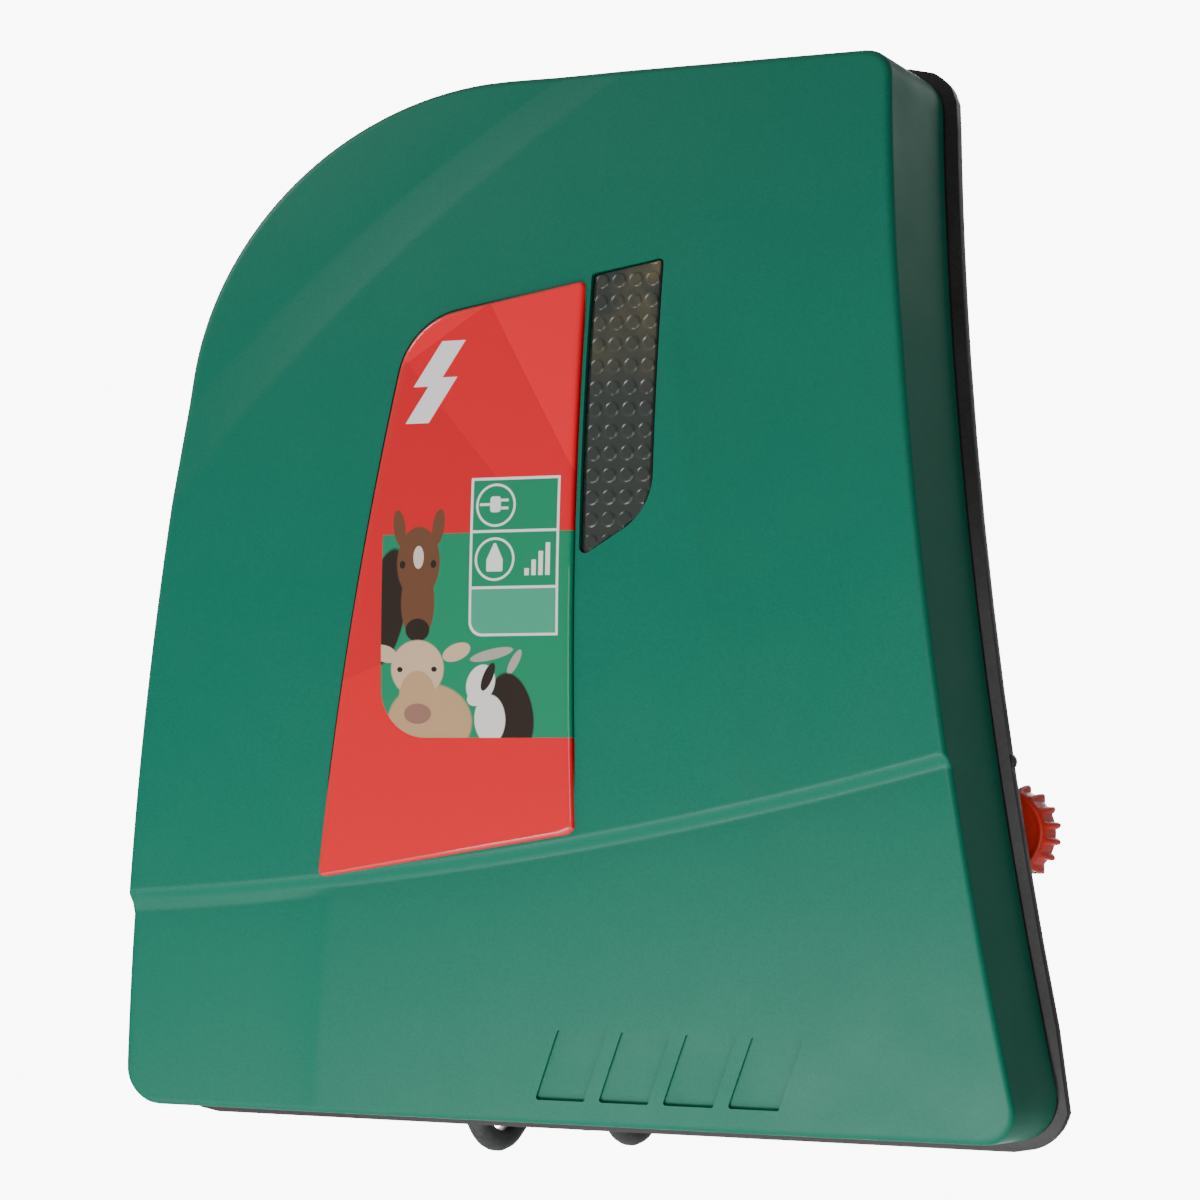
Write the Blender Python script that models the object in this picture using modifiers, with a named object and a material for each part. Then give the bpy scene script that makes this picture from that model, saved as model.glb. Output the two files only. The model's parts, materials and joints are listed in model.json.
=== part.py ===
"""A wall-hung mains fence energizer: arched cover, flange and tub, terminals, electronics and mains lead.

Metres. X is to the right, Y into the wall, Z up, and the wall is the plane Y = 0.
Heights below are about the middle of the cover, and a root empty puts the origin on the wall mount.
"""

import math

import bmesh
import bpy
from mathutils import Matrix, Vector

MM = 0.001
GAP = 0.3 * MM  # between pieces that touch
LOOSE = 0.35 * MM  # radial room of a rod in its hole

# The cover's face: a flared sheet, arched from foot to head, with one corner swept like a sail
COVER_TALL = 240 * MM
HEAD_HALF = 81 * MM
FOOT_HALF = 110.9 * MM
SIDE_HOLLOW = 2.1 * MM
SAIL_RADIUS = 78 * MM
HEAD_RADIUS = 7 * MM
FOOT_RADIUS = 8 * MM
FACE_RADIUS = 470 * MM
CREST_Z = 11 * MM
COVER_DEPTH = 29 * MM
SIDE_DRAFT = 3 * MM
END_DRAFT = 0.5 * MM
EDGE_ROUND = 1.6 * MM
COVER_WALL = 3 * MM

# The ledge across the cover's foot
LEDGE_STEP = 2.2 * MM
LEDGE_MIDDLE_Z = -59.1 * MM
LEDGE_SLOPE = 0.165
LEDGE_BEND = 0.52
PANEL_FLOOR_Z = -33 * MM

# Seal, flange and tub behind the cover
SEAL_THICK = 1.2 * MM
SEAL_WIDE = 3 * MM
FLANGE_THICK = 3.5 * MM
FLANGE_LIP = 2.6 * MM
TUB_INSET = 18 * MM
TUB_DRAFT = 1 * MM
TUB_WALL = 2.5 * MM
CATCH_Z = -37 * MM
CATCH_RADIUS = 2.2 * MM

# Label and window, each an outline of (x, z, corner radius), anticlockwise
LABEL_OUTLINE = [
    (-52.1 * MM, -65.6 * MM, 1.5 * MM),
    (12.9 * MM, -54.8 * MM, 1.5 * MM),
    (13.1 * MM, 69.7 * MM, 1.5 * MM),
    (-30.4 * MM, 62.3 * MM, 17 * MM),
]
WINDOW_OUTLINE = [
    (14.5 * MM, 6.5 * MM, 1.2 * MM),
    (31.2 * MM, 17 * MM, 14 * MM),
    (31.2 * MM, 73.7 * MM, 1 * MM),
    (14.5 * MM, 70.9 * MM, 0.6 * MM),
]
LABEL_RECESS = 1.6 * MM
LABEL_PLATE = 0.5 * MM
LABEL_DOME = 1.1 * MM
WINDOW_THICK = 2 * MM
WINDOW_SINK = 0.4 * MM
GUIDE_MARGIN = 2.5 * MM
GUIDE_THICK = 1.5 * MM

# The mains lead, put away as a hank in a recess of the tub
LEAD_RADIUS = 2.8 * MM
FOLD_RADIUS = 16.8 * MM
HANK_RUN = 84 * MM
HANK_WIDE = 41 * MM
HANK_X = -18.5 * MM
HANK_FOOT_Z = -131 * MM
TIE_TALL = 9 * MM
TIE_THICK = 1.2 * MM
RECESS_LEFT = -44 * MM
RECESS_RIGHT = 7 * MM
RECESS_BELOW_ROOF = 27 * MM
RECESS_ROOM = 0.9 * MM
GLAND_X = -36 * MM
GLAND_SLEEVE = 28 * MM
GLAND_NECK = 4.8 * MM
GLAND_COLLAR = 7 * MM
PLUG_X = -1.2 * MM
PLUG_HALF = 17.6 * MM
PLUG_THIN = 6.9 * MM
PLUG_TALL = 34 * MM
PLUG_SLEEVE = 22 * MM
PIN_RADIUS = 2 * MM
PIN_LONG = 19 * MM
PIN_APART = 9.5 * MM

# Terminals: a stud, a bar to the inside, a nut, a washer and a knob on each side
TERMINAL_Z = -52 * MM
KNOB_OFF_TUB = 0.35 * MM
STUD_RADIUS = 3 * MM
STUD_HEAD = 4.3 * MM
STUD_HEAD_THICK = 4 * MM
BLOCK_FRONT = -25 * MM
BLOCK_THICK = 5 * MM
BLOCK_HALF = 9 * MM
BLOCK_OFF_TUB = 1.1 * MM
BAR_HALF = 6 * MM
BAR_THICK = 1.2 * MM
BAR_REACH = 8 * MM
NUT_THICK = 4 * MM
NUT_RADIUS = 5.7 * MM
WASHER_THICK = 1.2 * MM
WASHER_RADIUS = 7 * MM
KNOB_LONG = 9 * MM
KNOB_BODY = 10.3 * MM
KNOB_TIP = 11.8 * MM
KNOB_FACE = 9.9 * MM
KNOB_BORE = 7.5 * MM
KNOB_RIBS = 18

# Boards and the parts on them
BOARD_FRONT = -60 * MM
BOARD_THICK = 1.6 * MM
BOARD_LOW = -88 * MM
BOARD_HIGH = 60 * MM
BOARD_INSET = 6 * MM
BOARD_ROOM = 2.2 * MM
POST_RADIUS = 4 * MM
PILOT_RADIUS = 1.7 * MM
SMALL_SCREW = 1.3 * MM
DISPLAY_BOARD_ROOM = 9 * MM
LED_COUNT = 3
LED_RADIUS = 2.5 * MM
SINK_LEFT = -20 * MM
SINK_LOW = -28 * MM
SINK_HIGH = -6 * MM
SINK_BASE = 4 * MM
SINK_FINS = 6
SINK_PITCH = 5 * MM
SINK_FIN_THICK = 2 * MM
SINK_FIN_LONG = 14 * MM

# Transformer, choke and storage capacitor, in the tub beside the recess
CORE_Y = -24 * MM
CORE_Z = 10 * MM
CORE_DEEP_HALF = 11 * MM
CORE_TALL_HALF = 32 * MM
CORE_ROOM = 1.3 * MM
CORE_LEG = 9 * MM
CORE_OPENING_HALF = 23 * MM
WINDING_DEEP = 7.8 * MM
CHOKE_RING = 6.2 * MM
CHOKE_WIRE = 3.4 * MM
CHOKE_Z = -68.2 * MM
CAN_LONG = 56 * MM
CAN_LOW = -42 * MM
CAN_Y = -20 * MM
BESIDE_RECESS = 1 * MM

# Screws that hold the cover, at these heights on both sides
COVER_SCREW_ROWS = (-100 * MM, 0, 88 * MM)
COVER_SCREW_INSET = 9 * MM
BOSS_RADIUS = 4.5 * MM
SCREW_RADIUS = 1.6 * MM
SCREW_HEAD = 3.5 * MM
SCREW_HEAD_THICK = 2.4 * MM
SCREW_BITE = 12 * MM

# Hanging tabs, as (x, which end of the tub)
TABS = ((20 * MM, 1), (-64 * MM, -1), (45 * MM, -1))
TAB_HALF = 12 * MM
TAB_TALL = 16 * MM
TAB_FOOT = 14 * MM
TAB_THICK = 2 * MM
TAB_HOLE = 4.5 * MM
MOUNT_ABOVE_RECESS = 13 * MM

ARC_STEP = math.radians(9)

RECESS_TOP = COVER_TALL / 2 - TUB_INSET - RECESS_BELOW_ROOF
MOUNT_Z = RECESS_TOP + MOUNT_ABOVE_RECESS

HANK_DEEP = 2 * (FOLD_RADIUS + LEAD_RADIUS)
HANK_TALL = HANK_RUN + HANK_DEEP
HANK_TOP_Z = HANK_FOOT_Z + HANK_TALL
HANK_Y = -(HANK_DEEP / 2 + TIE_THICK + RECESS_ROOM)
RECESS_FLOOR = -(HANK_DEEP + 2 * (TIE_THICK + RECESS_ROOM))


def sag(z):
    """How far the arched face lies behind its crest at height z."""
    return FACE_RADIUS - math.sqrt(FACE_RADIUS**2 - (z - CREST_Z) ** 2)


# The face stands so far out that the hank clears the flange at the cover's foot
FLANGE_BACK = RECESS_FLOOR - sag(-COVER_TALL / 2)
FLANGE_FRONT = FLANGE_BACK - FLANGE_THICK
SEAL_FRONT = FLANGE_FRONT - GAP - SEAL_THICK
SEAM = SEAL_FRONT - GAP
FACE = SEAM - COVER_DEPTH


# Outlines and rows -----------------------------------------------------------------------------------


def rounded(corners):
    """The closed outline through anticlockwise (x, z, radius) corners, each turned as an arc."""
    points = []
    for before, corner, after in zip(corners[-1:] + corners[:-1], corners, corners[1:] + corners[:1]):
        here = Vector(corner[:2])
        way_in = (here - Vector(before[:2])).normalized()
        way_out = (Vector(after[:2]) - here).normalized()
        turn = way_in.angle(way_out)
        radius = corner[2]
        start = here - way_in * radius * math.tan(turn / 2)
        left = Vector((-way_in.y, way_in.x))
        steps = max(2, round(turn / ARC_STEP)) if radius > 5 * MM else 3
        for step in range(steps + 1):
            spin = Matrix.Rotation(turn * step / steps, 2)
            points.append(start + left * radius - (spin @ left) * radius)
    return points


def grown(corners, amount):
    """Corners of a small outline moved outward by amount, seen from its middle."""
    middle_x = sum(corner[0] for corner in corners) / len(corners)
    middle_z = sum(corner[1] for corner in corners) / len(corners)
    return [
        (x + math.copysign(amount, x - middle_x), z + math.copysign(amount, z - middle_z), radius + amount)
        for x, z, radius in corners
    ]


def case_corners(outset, rise):
    """The case's four corners, with its sides moved out by outset and its ends by rise."""
    half_tall = COVER_TALL / 2 + rise
    foot = FOOT_HALF + outset
    head = HEAD_HALF + outset
    extra = min(outset, rise) if outset < 0 else outset
    return [
        (-foot, -half_tall, max(FOOT_RADIUS + extra, 3 * MM)),
        (foot, -half_tall, max(FOOT_RADIUS + extra, 3 * MM)),
        (head, half_tall, max(HEAD_RADIUS + extra, 3 * MM)),
        (-head, half_tall, SAIL_RADIUS + extra),
    ]


def fractions(outline, most):
    """Shares of an outline's height at its own points, with others between so that no step passes most."""
    low = min(point.y for point in outline)
    tall = max(point.y for point in outline) - low
    marks = [0.0]
    for point in sorted(outline, key=lambda point: point.y):
        mark = (point.y - low) / tall
        if mark - marks[-1] < 0.6 * MM / tall:
            continue
        pieces = math.ceil((mark - marks[-1]) * tall / most)
        start = marks[-1]
        marks += [start + (mark - start) * piece / pieces for piece in range(1, pieces + 1)]
    marks[-1] = 1.0
    return marks


def rows(outline, marks):
    """(z, left, right) of a convex outline at the given shares of its height."""
    low = min(point.y for point in outline)
    high = max(point.y for point in outline)
    found = []
    for mark in marks:
        z = low + (high - low) * min(max(mark, 1e-6), 1 - 1e-6)
        crossings = []
        for start, end in zip(outline, outline[1:] + outline[:1]):
            if (start.y > z) != (end.y > z):
                share = (z - start.y) / (end.y - start.y)
                crossings.append(start.x + (end.x - start.x) * share)
        found.append((z, min(crossings), max(crossings)))
    return found


CASE_MARKS = fractions(rounded(case_corners(0, 0)), 20 * MM)


def case_rows(outset, rise=None):
    """Rows of the case's outline, with its sides drawn in along their hollow."""
    rise = outset if rise is None else rise
    found = []
    for z, left, right in rows(rounded(case_corners(outset, rise)), CASE_MARKS):
        hollow = SIDE_HOLLOW * max(0, 1 - (2 * z / COVER_TALL) ** 2)
        found.append((z, left + hollow, right - hollow))
    return found


def case_edge(z, outset):
    """The left and the right edge of the case's outline at height z."""
    table = case_rows(outset)
    for (z_low, left_low, right_low), (z_high, left_high, right_high) in zip(table, table[1:]):
        if z_low <= z <= z_high:
            share = (z - z_low) / (z_high - z_low)
            left = left_low + (left_high - left_low) * share
            return left, right_low + (right_high - right_low) * share
    return table[-1][1:]


def tub_inside(z):
    """The left and the right inner face of the tub at height z, where it is narrowest."""
    return case_edge(z, -TUB_INSET - TUB_DRAFT - TUB_WALL)


# What stands between the tub's walls, or between a wall and the recess, fills the room there
BOARD_LEFT = tub_inside(BOARD_HIGH)[0] + BOARD_ROOM
BOARD_RIGHT = tub_inside(BOARD_HIGH)[1] - BOARD_ROOM
CORE_LEFT = RECESS_RIGHT + TUB_WALL + CORE_ROOM
CORE_RIGHT = tub_inside(CORE_Z + CORE_TALL_HALF)[1] - CORE_ROOM
CORE_X = (CORE_LEFT + CORE_RIGHT) / 2
CORE_HALF = ((CORE_RIGHT - CORE_LEFT) / 2, CORE_DEEP_HALF, CORE_TALL_HALF)
CAN_RIGHT = RECESS_LEFT - TUB_WALL - BESIDE_RECESS
CAN_RADIUS = (CAN_RIGHT - tub_inside(CAN_LOW + CAN_LONG)[0] - BESIDE_RECESS) / 2


def arched(y):
    """A depth that follows the arched face, y behind or before its crest."""
    return lambda z: y + sag(z)


def flat(y):
    return lambda z: y


# Objects ---------------------------------------------------------------------------------------------

for old in list(bpy.data.objects):
    bpy.data.objects.remove(old, do_unlink=True)

PARTS = bpy.data.collections.new("fence_energizer")
CUTTERS = bpy.data.collections.new("cutters")
CUTTERS.hide_render = True
for made in (PARTS, CUTTERS):
    bpy.context.scene.collection.children.link(made)

ROOT = bpy.data.objects.new("wall_mount_root", None)
ROOT.location.z = -MOUNT_Z
PARTS.objects.link(ROOT)

FINISHES = {
    "cover_green": ((0.012, 0.17, 0.115), 0.38, 0.0),
    "case_black": ((0.012, 0.013, 0.012), 0.5, 0.0),
    "seal_rubber": ((0.01, 0.01, 0.01), 0.8, 0.0),
    "window_smoke": ((0.05, 0.06, 0.05), 0.12, 0.0),
    "diffuser": ((0.75, 0.72, 0.55), 0.5, 0.0),
    "label_print": ((0.72, 0.045, 0.035), 0.4, 0.0),
    "label_resin": ((0.75, 0.05, 0.04), 0.08, 0.0),
    "board": ((0.02, 0.16, 0.06), 0.5, 0.0),
    "led_lens": ((0.8, 0.1, 0.05), 0.2, 0.0),
    "core_steel": ((0.3, 0.3, 0.31), 0.5, 1.0),
    "winding": ((0.65, 0.3, 0.08), 0.45, 0.0),
    "component_dark": ((0.03, 0.03, 0.035), 0.5, 0.0),
    "component_blue": ((0.03, 0.12, 0.4), 0.45, 0.0),
    "aluminium": ((0.8, 0.8, 0.8), 0.35, 1.0),
    "fuse_glass": ((0.8, 0.85, 0.85), 0.05, 0.0),
    "zinc_steel": ((0.6, 0.6, 0.62), 0.35, 1.0),
    "brass": ((0.75, 0.55, 0.25), 0.3, 1.0),
    "knob_red": ((0.72, 0.03, 0.02), 0.35, 0.0),
    "knob_green": ((0.02, 0.3, 0.12), 0.35, 0.0),
    "wire_red": ((0.6, 0.03, 0.03), 0.45, 0.0),
    "wire_green": ((0.05, 0.3, 0.08), 0.45, 0.0),
    "lead_pvc": ((0.02, 0.021, 0.022), 0.55, 0.0),
    "tie_nylon": ((0.015, 0.015, 0.015), 0.5, 0.0),
}


def finish(name):
    """The Principled material of that name, made once."""
    material = bpy.data.materials.get(name)
    if material:
        return material
    colour, roughness, metallic = FINISHES[name]
    material = bpy.data.materials.new(name)
    material.use_nodes = True
    shader = material.node_tree.nodes["Principled BSDF"]
    shader.inputs["Base Color"].default_value = (*colour, 1)
    shader.inputs["Roughness"].default_value = roughness
    shader.inputs["Metallic"].default_value = metallic
    return material


def place(name, data, look, at=(0, 0, 0), turn=(0, 0, 0)):
    """A part, or a cutter where look is None, standing in the root's frame."""
    thing = bpy.data.objects.new(name, data)
    thing.parent = ROOT
    thing.location = at
    thing.rotation_euler = turn
    if look is None:
        CUTTERS.objects.link(thing)
        thing.hide_render = True
        thing.display_type = "WIRE"
    else:
        PARTS.objects.link(thing)
        data.materials.append(finish(look))
    return thing


def mesh_of(shape):
    """A mesh from a bmesh, with its normals outward."""
    bmesh.ops.recalc_face_normals(shape, faces=shape.faces)
    mesh = bpy.data.meshes.new("shape")
    shape.to_mesh(mesh)
    shape.free()
    return mesh


def lofted(name, sections, look):
    """A solid through (rows, depth) sections from front to back."""
    shape = bmesh.new()
    rings = []
    for table, depth in sections:
        left = [shape.verts.new((x, depth(z), z)) for z, x, _ in table]
        right = [shape.verts.new((x, depth(z), z)) for z, _, x in table]
        rings.append((left, right))
    for left, right in (rings[0], rings[-1]):
        for low in range(len(left) - 1):
            shape.faces.new((left[low], right[low], right[low + 1], left[low + 1]))
    for (left, right), (left_back, right_back) in zip(rings, rings[1:]):
        for low in range(len(left) - 1):
            shape.faces.new((left[low], left[low + 1], left_back[low + 1], left_back[low]))
            shape.faces.new((right[low], right[low + 1], right_back[low + 1], right_back[low]))
        for end in (0, -1):
            shape.faces.new((left[end], right[end], right_back[end], left_back[end]))
    bmesh.ops.remove_doubles(shape, verts=shape.verts, dist=0.01 * MM)
    return place(name, mesh_of(shape), look)


def block(name, low, high, look):
    """A box between two corners."""
    shape = bmesh.new()
    bmesh.ops.create_cube(shape, size=1)
    size = Vector(high) - Vector(low)
    bmesh.ops.scale(shape, vec=size, verts=shape.verts)
    bmesh.ops.translate(shape, vec=Vector(low) + size / 2, verts=shape.verts)
    return place(name, mesh_of(shape), look)


def add_bar(shape, radius, long, stand, sides):
    """Add a round or many-sided bar about its own middle to a bmesh."""
    bmesh.ops.create_cone(
        shape,
        cap_ends=True,
        segments=sides,
        radius1=radius,
        radius2=radius,
        depth=long,
        matrix=stand,
    )


def rods(name, radius, ends, look, sides=16):
    """Round bars, each from one point to another, as one mesh."""
    shape = bmesh.new()
    for start, end in ends:
        way = Vector(end) - Vector(start)
        spin = Vector((0, 0, 1)).rotation_difference(way).to_matrix().to_4x4()
        stand = Matrix.Translation((Vector(start) + Vector(end)) / 2) @ spin
        add_bar(shape, radius, way.length, stand, sides)
    return place(name, mesh_of(shape), look)


def prism(name, points, low, high, look, axis):
    """A flat outline pushed along axis 0 (points are y, z) or axis 2 (points are x, y)."""
    shape = bmesh.new()
    corners = [(low, a, b) if axis == 0 else (a, b, low) for a, b in points]
    face = shape.faces.new([shape.verts.new(corner) for corner in corners])
    pushed = bmesh.ops.extrude_face_region(shape, geom=[face])
    moved = [item for item in pushed["geom"] if isinstance(item, bmesh.types.BMVert)]
    away = (high - low, 0, 0) if axis == 0 else (0, 0, high - low)
    bmesh.ops.translate(shape, vec=away, verts=moved)
    return place(name, mesh_of(shape), look)


def stacked(name, sections, look, at):
    """A solid through rounded rectangles: (z, half x, half y) from the top down."""
    shape = bmesh.new()
    rings = []
    for z, half_x, half_y in sections:
        radius = min(half_x, half_y) * 0.98
        ring = []
        for step in range(16):
            angle = math.radians(11.25 + 22.5 * step)
            x = math.copysign(half_x - radius, math.cos(angle)) + radius * math.cos(angle)
            y = math.copysign(half_y - radius, math.sin(angle)) + radius * math.sin(angle)
            ring.append(shape.verts.new((x, y, z)))
        rings.append(ring)
    for ring, below in zip(rings, rings[1:]):
        for step in range(16):
            after = (step + 1) % 16
            shape.faces.new((ring[step], ring[after], below[after], below[step]))
    shape.faces.new(rings[0])
    shape.faces.new(rings[-1])
    return place(name, mesh_of(shape), look, at)


def turned(name, profile, look, at, turn=(0, 0, 0), steps=16):
    """A profile of (radius, height), from the top's middle to the foot's, turned about its own Z axis."""
    mesh = bpy.data.meshes.new("profile")
    points = [(radius, 0, height) for radius, height in profile]
    mesh.from_pydata(points, [(start, start + 1) for start in range(len(points) - 1)], [])
    thing = place(name, mesh, look, at, turn)
    screw = thing.modifiers.new("turn", "SCREW")
    screw.steps = steps
    screw.render_steps = steps
    screw.use_merge_vertices = True
    screw.merge_threshold = 0.02 * MM
    return thing


def tube(name, points, radius, look):
    """A round cable along a smooth curve through the points."""
    curve = bpy.data.curves.new("tube", "CURVE")
    curve.dimensions = "3D"
    curve.bevel_depth = radius
    curve.bevel_resolution = 2
    curve.use_fill_caps = True
    route = smooth(points, 5 * radius)
    spline = curve.splines.new("POLY")
    spline.points.add(len(route) - 1)
    for point, here in zip(spline.points, route):
        point.co = (*here, 1)
    return place(name, curve, look)


def smooth(points, step):
    """Points about a step apart on a Catmull-Rom curve through the given ones."""
    knots = [Vector(point) for point in points]
    knots = [2 * knots[0] - knots[1]] + knots + [2 * knots[-1] - knots[-2]]
    route = [knots[1]]
    for before, start, end, after in zip(knots, knots[1:], knots[2:], knots[3:]):
        pieces = max(1, round((end - start).length / step))
        for piece in range(1, pieces + 1):
            t = piece / pieces
            swing = (2 * before - 5 * start + 4 * end - after) * t * t
            twist = (3 * start - 3 * end + after - before) * t**3
            route.append((2 * start + (end - before) * t + swing + twist) / 2)
    return route


def combine(target, other, operation="DIFFERENCE"):
    """Cut the other solid from the target, or join it on."""
    boolean = target.modifiers.new(other.name, "BOOLEAN")
    boolean.operation = operation
    boolean.solver = "EXACT"
    boolean.object = other


# Case ------------------------------------------------------------------------------------------------


def cover_screw_places():
    """(x, z) of each cover screw, inside the outline on both sides."""
    return [(x, z) for z in COVER_SCREW_ROWS for x in case_edge(z, -COVER_SCREW_INSET)]


def screw_bars(front, back):
    """Ends of a bar at each cover screw, front and back being depths at the crest."""
    return [((x, front + sag(z), z), (x, back + sag(z), z)) for x, z in cover_screw_places()]


def ledge_left(z):
    """Where the ledge's rising line reaches height z."""
    root = LEDGE_SLOPE**2 - 4 * LEDGE_BEND * (LEDGE_MIDDLE_Z - z)
    return (-LEDGE_SLOPE + math.sqrt(max(root, 0))) / (2 * LEDGE_BEND)


def ledge_rows():
    """Everything below the ledge line, a little wider than the cover."""
    wide = FOOT_HALF + 10 * MM
    low = -COVER_TALL / 2 - 10 * MM
    start = LEDGE_MIDDLE_Z - LEDGE_SLOPE * wide + LEDGE_BEND * wide**2
    end = LEDGE_MIDDLE_Z + LEDGE_SLOPE * wide + LEDGE_BEND * wide**2
    table = [(low + (start - low) * step / 4, -wide, wide) for step in range(5)]
    for step in range(1, 13):
        z = start + (end - start) * step / 12
        table.append((z, ledge_left(z), wide))
    return table


def make_cover():
    cover = lofted(
        "front_cover",
        [
            (case_rows(-EDGE_ROUND), arched(FACE)),
            (case_rows(-0.3 * EDGE_ROUND), arched(FACE + 0.3 * EDGE_ROUND)),
            (case_rows(0), arched(FACE + EDGE_ROUND)),
            (case_rows(SIDE_DRAFT, END_DRAFT), arched(SEAM)),
        ],
        "cover_green",
    )
    inside = lofted(
        "cover_inside",
        [
            (case_rows(-COVER_WALL), arched(FACE + LEDGE_STEP + COVER_WALL)),
            (case_rows(SIDE_DRAFT - COVER_WALL, END_DRAFT - COVER_WALL), arched(SEAM + 1 * MM)),
        ],
        None,
    )
    panel_rows = [row for row in case_rows(-COVER_WALL) if row[0] > PANEL_FLOOR_Z]
    panel = lofted(
        "panel_inside",
        [(panel_rows, arched(FACE + COVER_WALL)), (panel_rows, arched(FACE + COVER_WALL + 2 * LEDGE_STEP))],
        None,
    )
    foot = ledge_rows()
    below = lofted("below_ledge", [(foot, arched(FACE - 5 * MM)), (foot, arched(FACE + LEDGE_STEP))], None)
    bosses = rods("cover_bosses", BOSS_RADIUS, screw_bars(FACE + COVER_WALL, SEAM - 2 * MM), None)
    pilot_ends = screw_bars(SEAM - SCREW_BITE - 3 * MM, SEAM + 5 * MM)
    pilots = rods("cover_pilots", SCREW_RADIUS + LOOSE, pilot_ends, None, 12)
    combine(cover, inside)
    combine(cover, panel)
    combine(cover, below)
    combine(cover, bosses, "UNION")
    combine(cover, pilots)
    for name, corners, deep in (
        ("label_pit", LABEL_OUTLINE, LABEL_RECESS),
        ("window_hole", WINDOW_OUTLINE, 12 * MM),
    ):
        outline = rounded(grown(corners, GAP))
        table = rows(outline, fractions(outline, 14 * MM))
        pit = lofted(name, [(table, arched(FACE - 5 * MM)), (table, arched(FACE + deep))], None)
        combine(cover, pit)


def make_seal():
    outer = case_rows(SIDE_DRAFT, END_DRAFT)
    back = SEAL_FRONT + SEAL_THICK
    seal = lofted("cover_seal", [(outer, arched(SEAL_FRONT)), (outer, arched(back))], "seal_rubber")
    inner = case_rows(SIDE_DRAFT - SEAL_WIDE, END_DRAFT - SEAL_WIDE)
    hole = lofted("seal_hole", [(inner, arched(SEAL_FRONT - 2 * MM)), (inner, arched(back + 2 * MM))], None)
    combine(seal, hole)


def make_flange():
    outer = case_rows(SIDE_DRAFT + FLANGE_LIP, END_DRAFT + FLANGE_LIP)
    faces = [(outer, arched(FLANGE_FRONT)), (outer, arched(FLANGE_BACK))]
    flange = lofted("rear_flange", faces, "case_black")
    inner = case_rows(-TUB_INSET - TUB_WALL)
    front = FLANGE_FRONT - 2 * MM
    back = FLANGE_BACK + 2 * MM
    hole = lofted("flange_hole", [(inner, arched(front)), (inner, arched(back))], None)
    combine(flange, hole)
    clear = rods("flange_screw_holes", SCREW_RADIUS + LOOSE, screw_bars(front, back), None, 12)
    combine(flange, clear)
    catch_x = case_edge(CATCH_Z, SIDE_DRAFT + FLANGE_LIP)[1] - 0.6 * CATCH_RADIUS
    catch_y = (FLANGE_FRONT + FLANGE_BACK) / 2 + sag(CATCH_Z)
    catch = rods(
        "flange_catch",
        CATCH_RADIUS,
        [((catch_x, catch_y - 1.2 * MM, CATCH_Z), (catch_x, catch_y + 1.2 * MM, CATCH_Z))],
        None,
    )
    combine(flange, catch, "UNION")


def post_places():
    """(x, z) of the main board's four screws."""
    across = (BOARD_LEFT + BOARD_INSET, BOARD_RIGHT - BOARD_INSET)
    up = (BOARD_LOW + BOARD_INSET, BOARD_HIGH - BOARD_INSET)
    return [(x, z) for x in across for z in up]


def make_tub():
    front = FLANGE_BACK + GAP
    tub = lofted(
        "rear_tub",
        [(case_rows(-TUB_INSET), arched(front)), (case_rows(-TUB_INSET - TUB_DRAFT), flat(0))],
        "case_black",
    )
    hollow = lofted(
        "tub_hollow",
        [
            (case_rows(-TUB_INSET - TUB_WALL), arched(front - 10 * MM)),
            (case_rows(-TUB_INSET - TUB_WALL), arched(front)),
            (case_rows(-TUB_INSET - TUB_DRAFT - TUB_WALL), flat(-TUB_WALL)),
        ],
        None,
    )
    low = -COVER_TALL / 2 - 20 * MM
    around = block(
        "recess_walls",
        (RECESS_LEFT - TUB_WALL, RECESS_FLOOR - TUB_WALL, low),
        (RECESS_RIGHT + TUB_WALL, 5 * MM, RECESS_TOP + TUB_WALL),
        None,
    )
    recess = block("recess_room", (RECESS_LEFT, RECESS_FLOOR, low), (RECESS_RIGHT, 5 * MM, RECESS_TOP), None)
    combine(hollow, around)
    combine(tub, hollow)
    combine(tub, recess)
    posts = rods(
        "board_posts",
        POST_RADIUS,
        [((x, BOARD_FRONT + BOARD_THICK + GAP, z), (x, -TUB_WALL / 2, z)) for x, z in post_places()],
        None,
        12,
    )
    pilots = rods(
        "post_pilots",
        PILOT_RADIUS,
        [((x, BOARD_FRONT, z), (x, BOARD_FRONT + 14 * MM, z)) for x, z in post_places()],
        None,
        10,
    )
    combine(tub, posts, "UNION")
    combine(tub, pilots)
    gland_hole = rods(
        "gland_hole",
        GLAND_NECK + LOOSE,
        [((GLAND_X, HANK_Y, RECESS_TOP - 5 * MM), (GLAND_X, HANK_Y, RECESS_TOP + 10 * MM))],
        None,
    )
    combine(tub, gland_hole)
    pin_holes = rods(
        "pin_holes",
        PIN_RADIUS + LOOSE,
        [
            ((PLUG_X, HANK_Y + side, RECESS_TOP - 5 * MM), (PLUG_X, HANK_Y + side, RECESS_TOP + 10 * MM))
            for side in (-PIN_APART, PIN_APART)
        ],
        None,
        12,
    )
    combine(tub, pin_holes)
    bar_front = BLOCK_FRONT - GAP - BAR_THICK
    for side in (-1, 1):
        stud = stud_x(side)
        slot = block(
            f"bar_slot_{side}",
            (min(stud, side * 60 * MM), bar_front - GAP, TERMINAL_Z - BAR_HALF - GAP),
            (max(stud, side * 60 * MM), BLOCK_FRONT, TERMINAL_Z + BAR_HALF + GAP),
            None,
        )
        combine(tub, slot)


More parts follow.
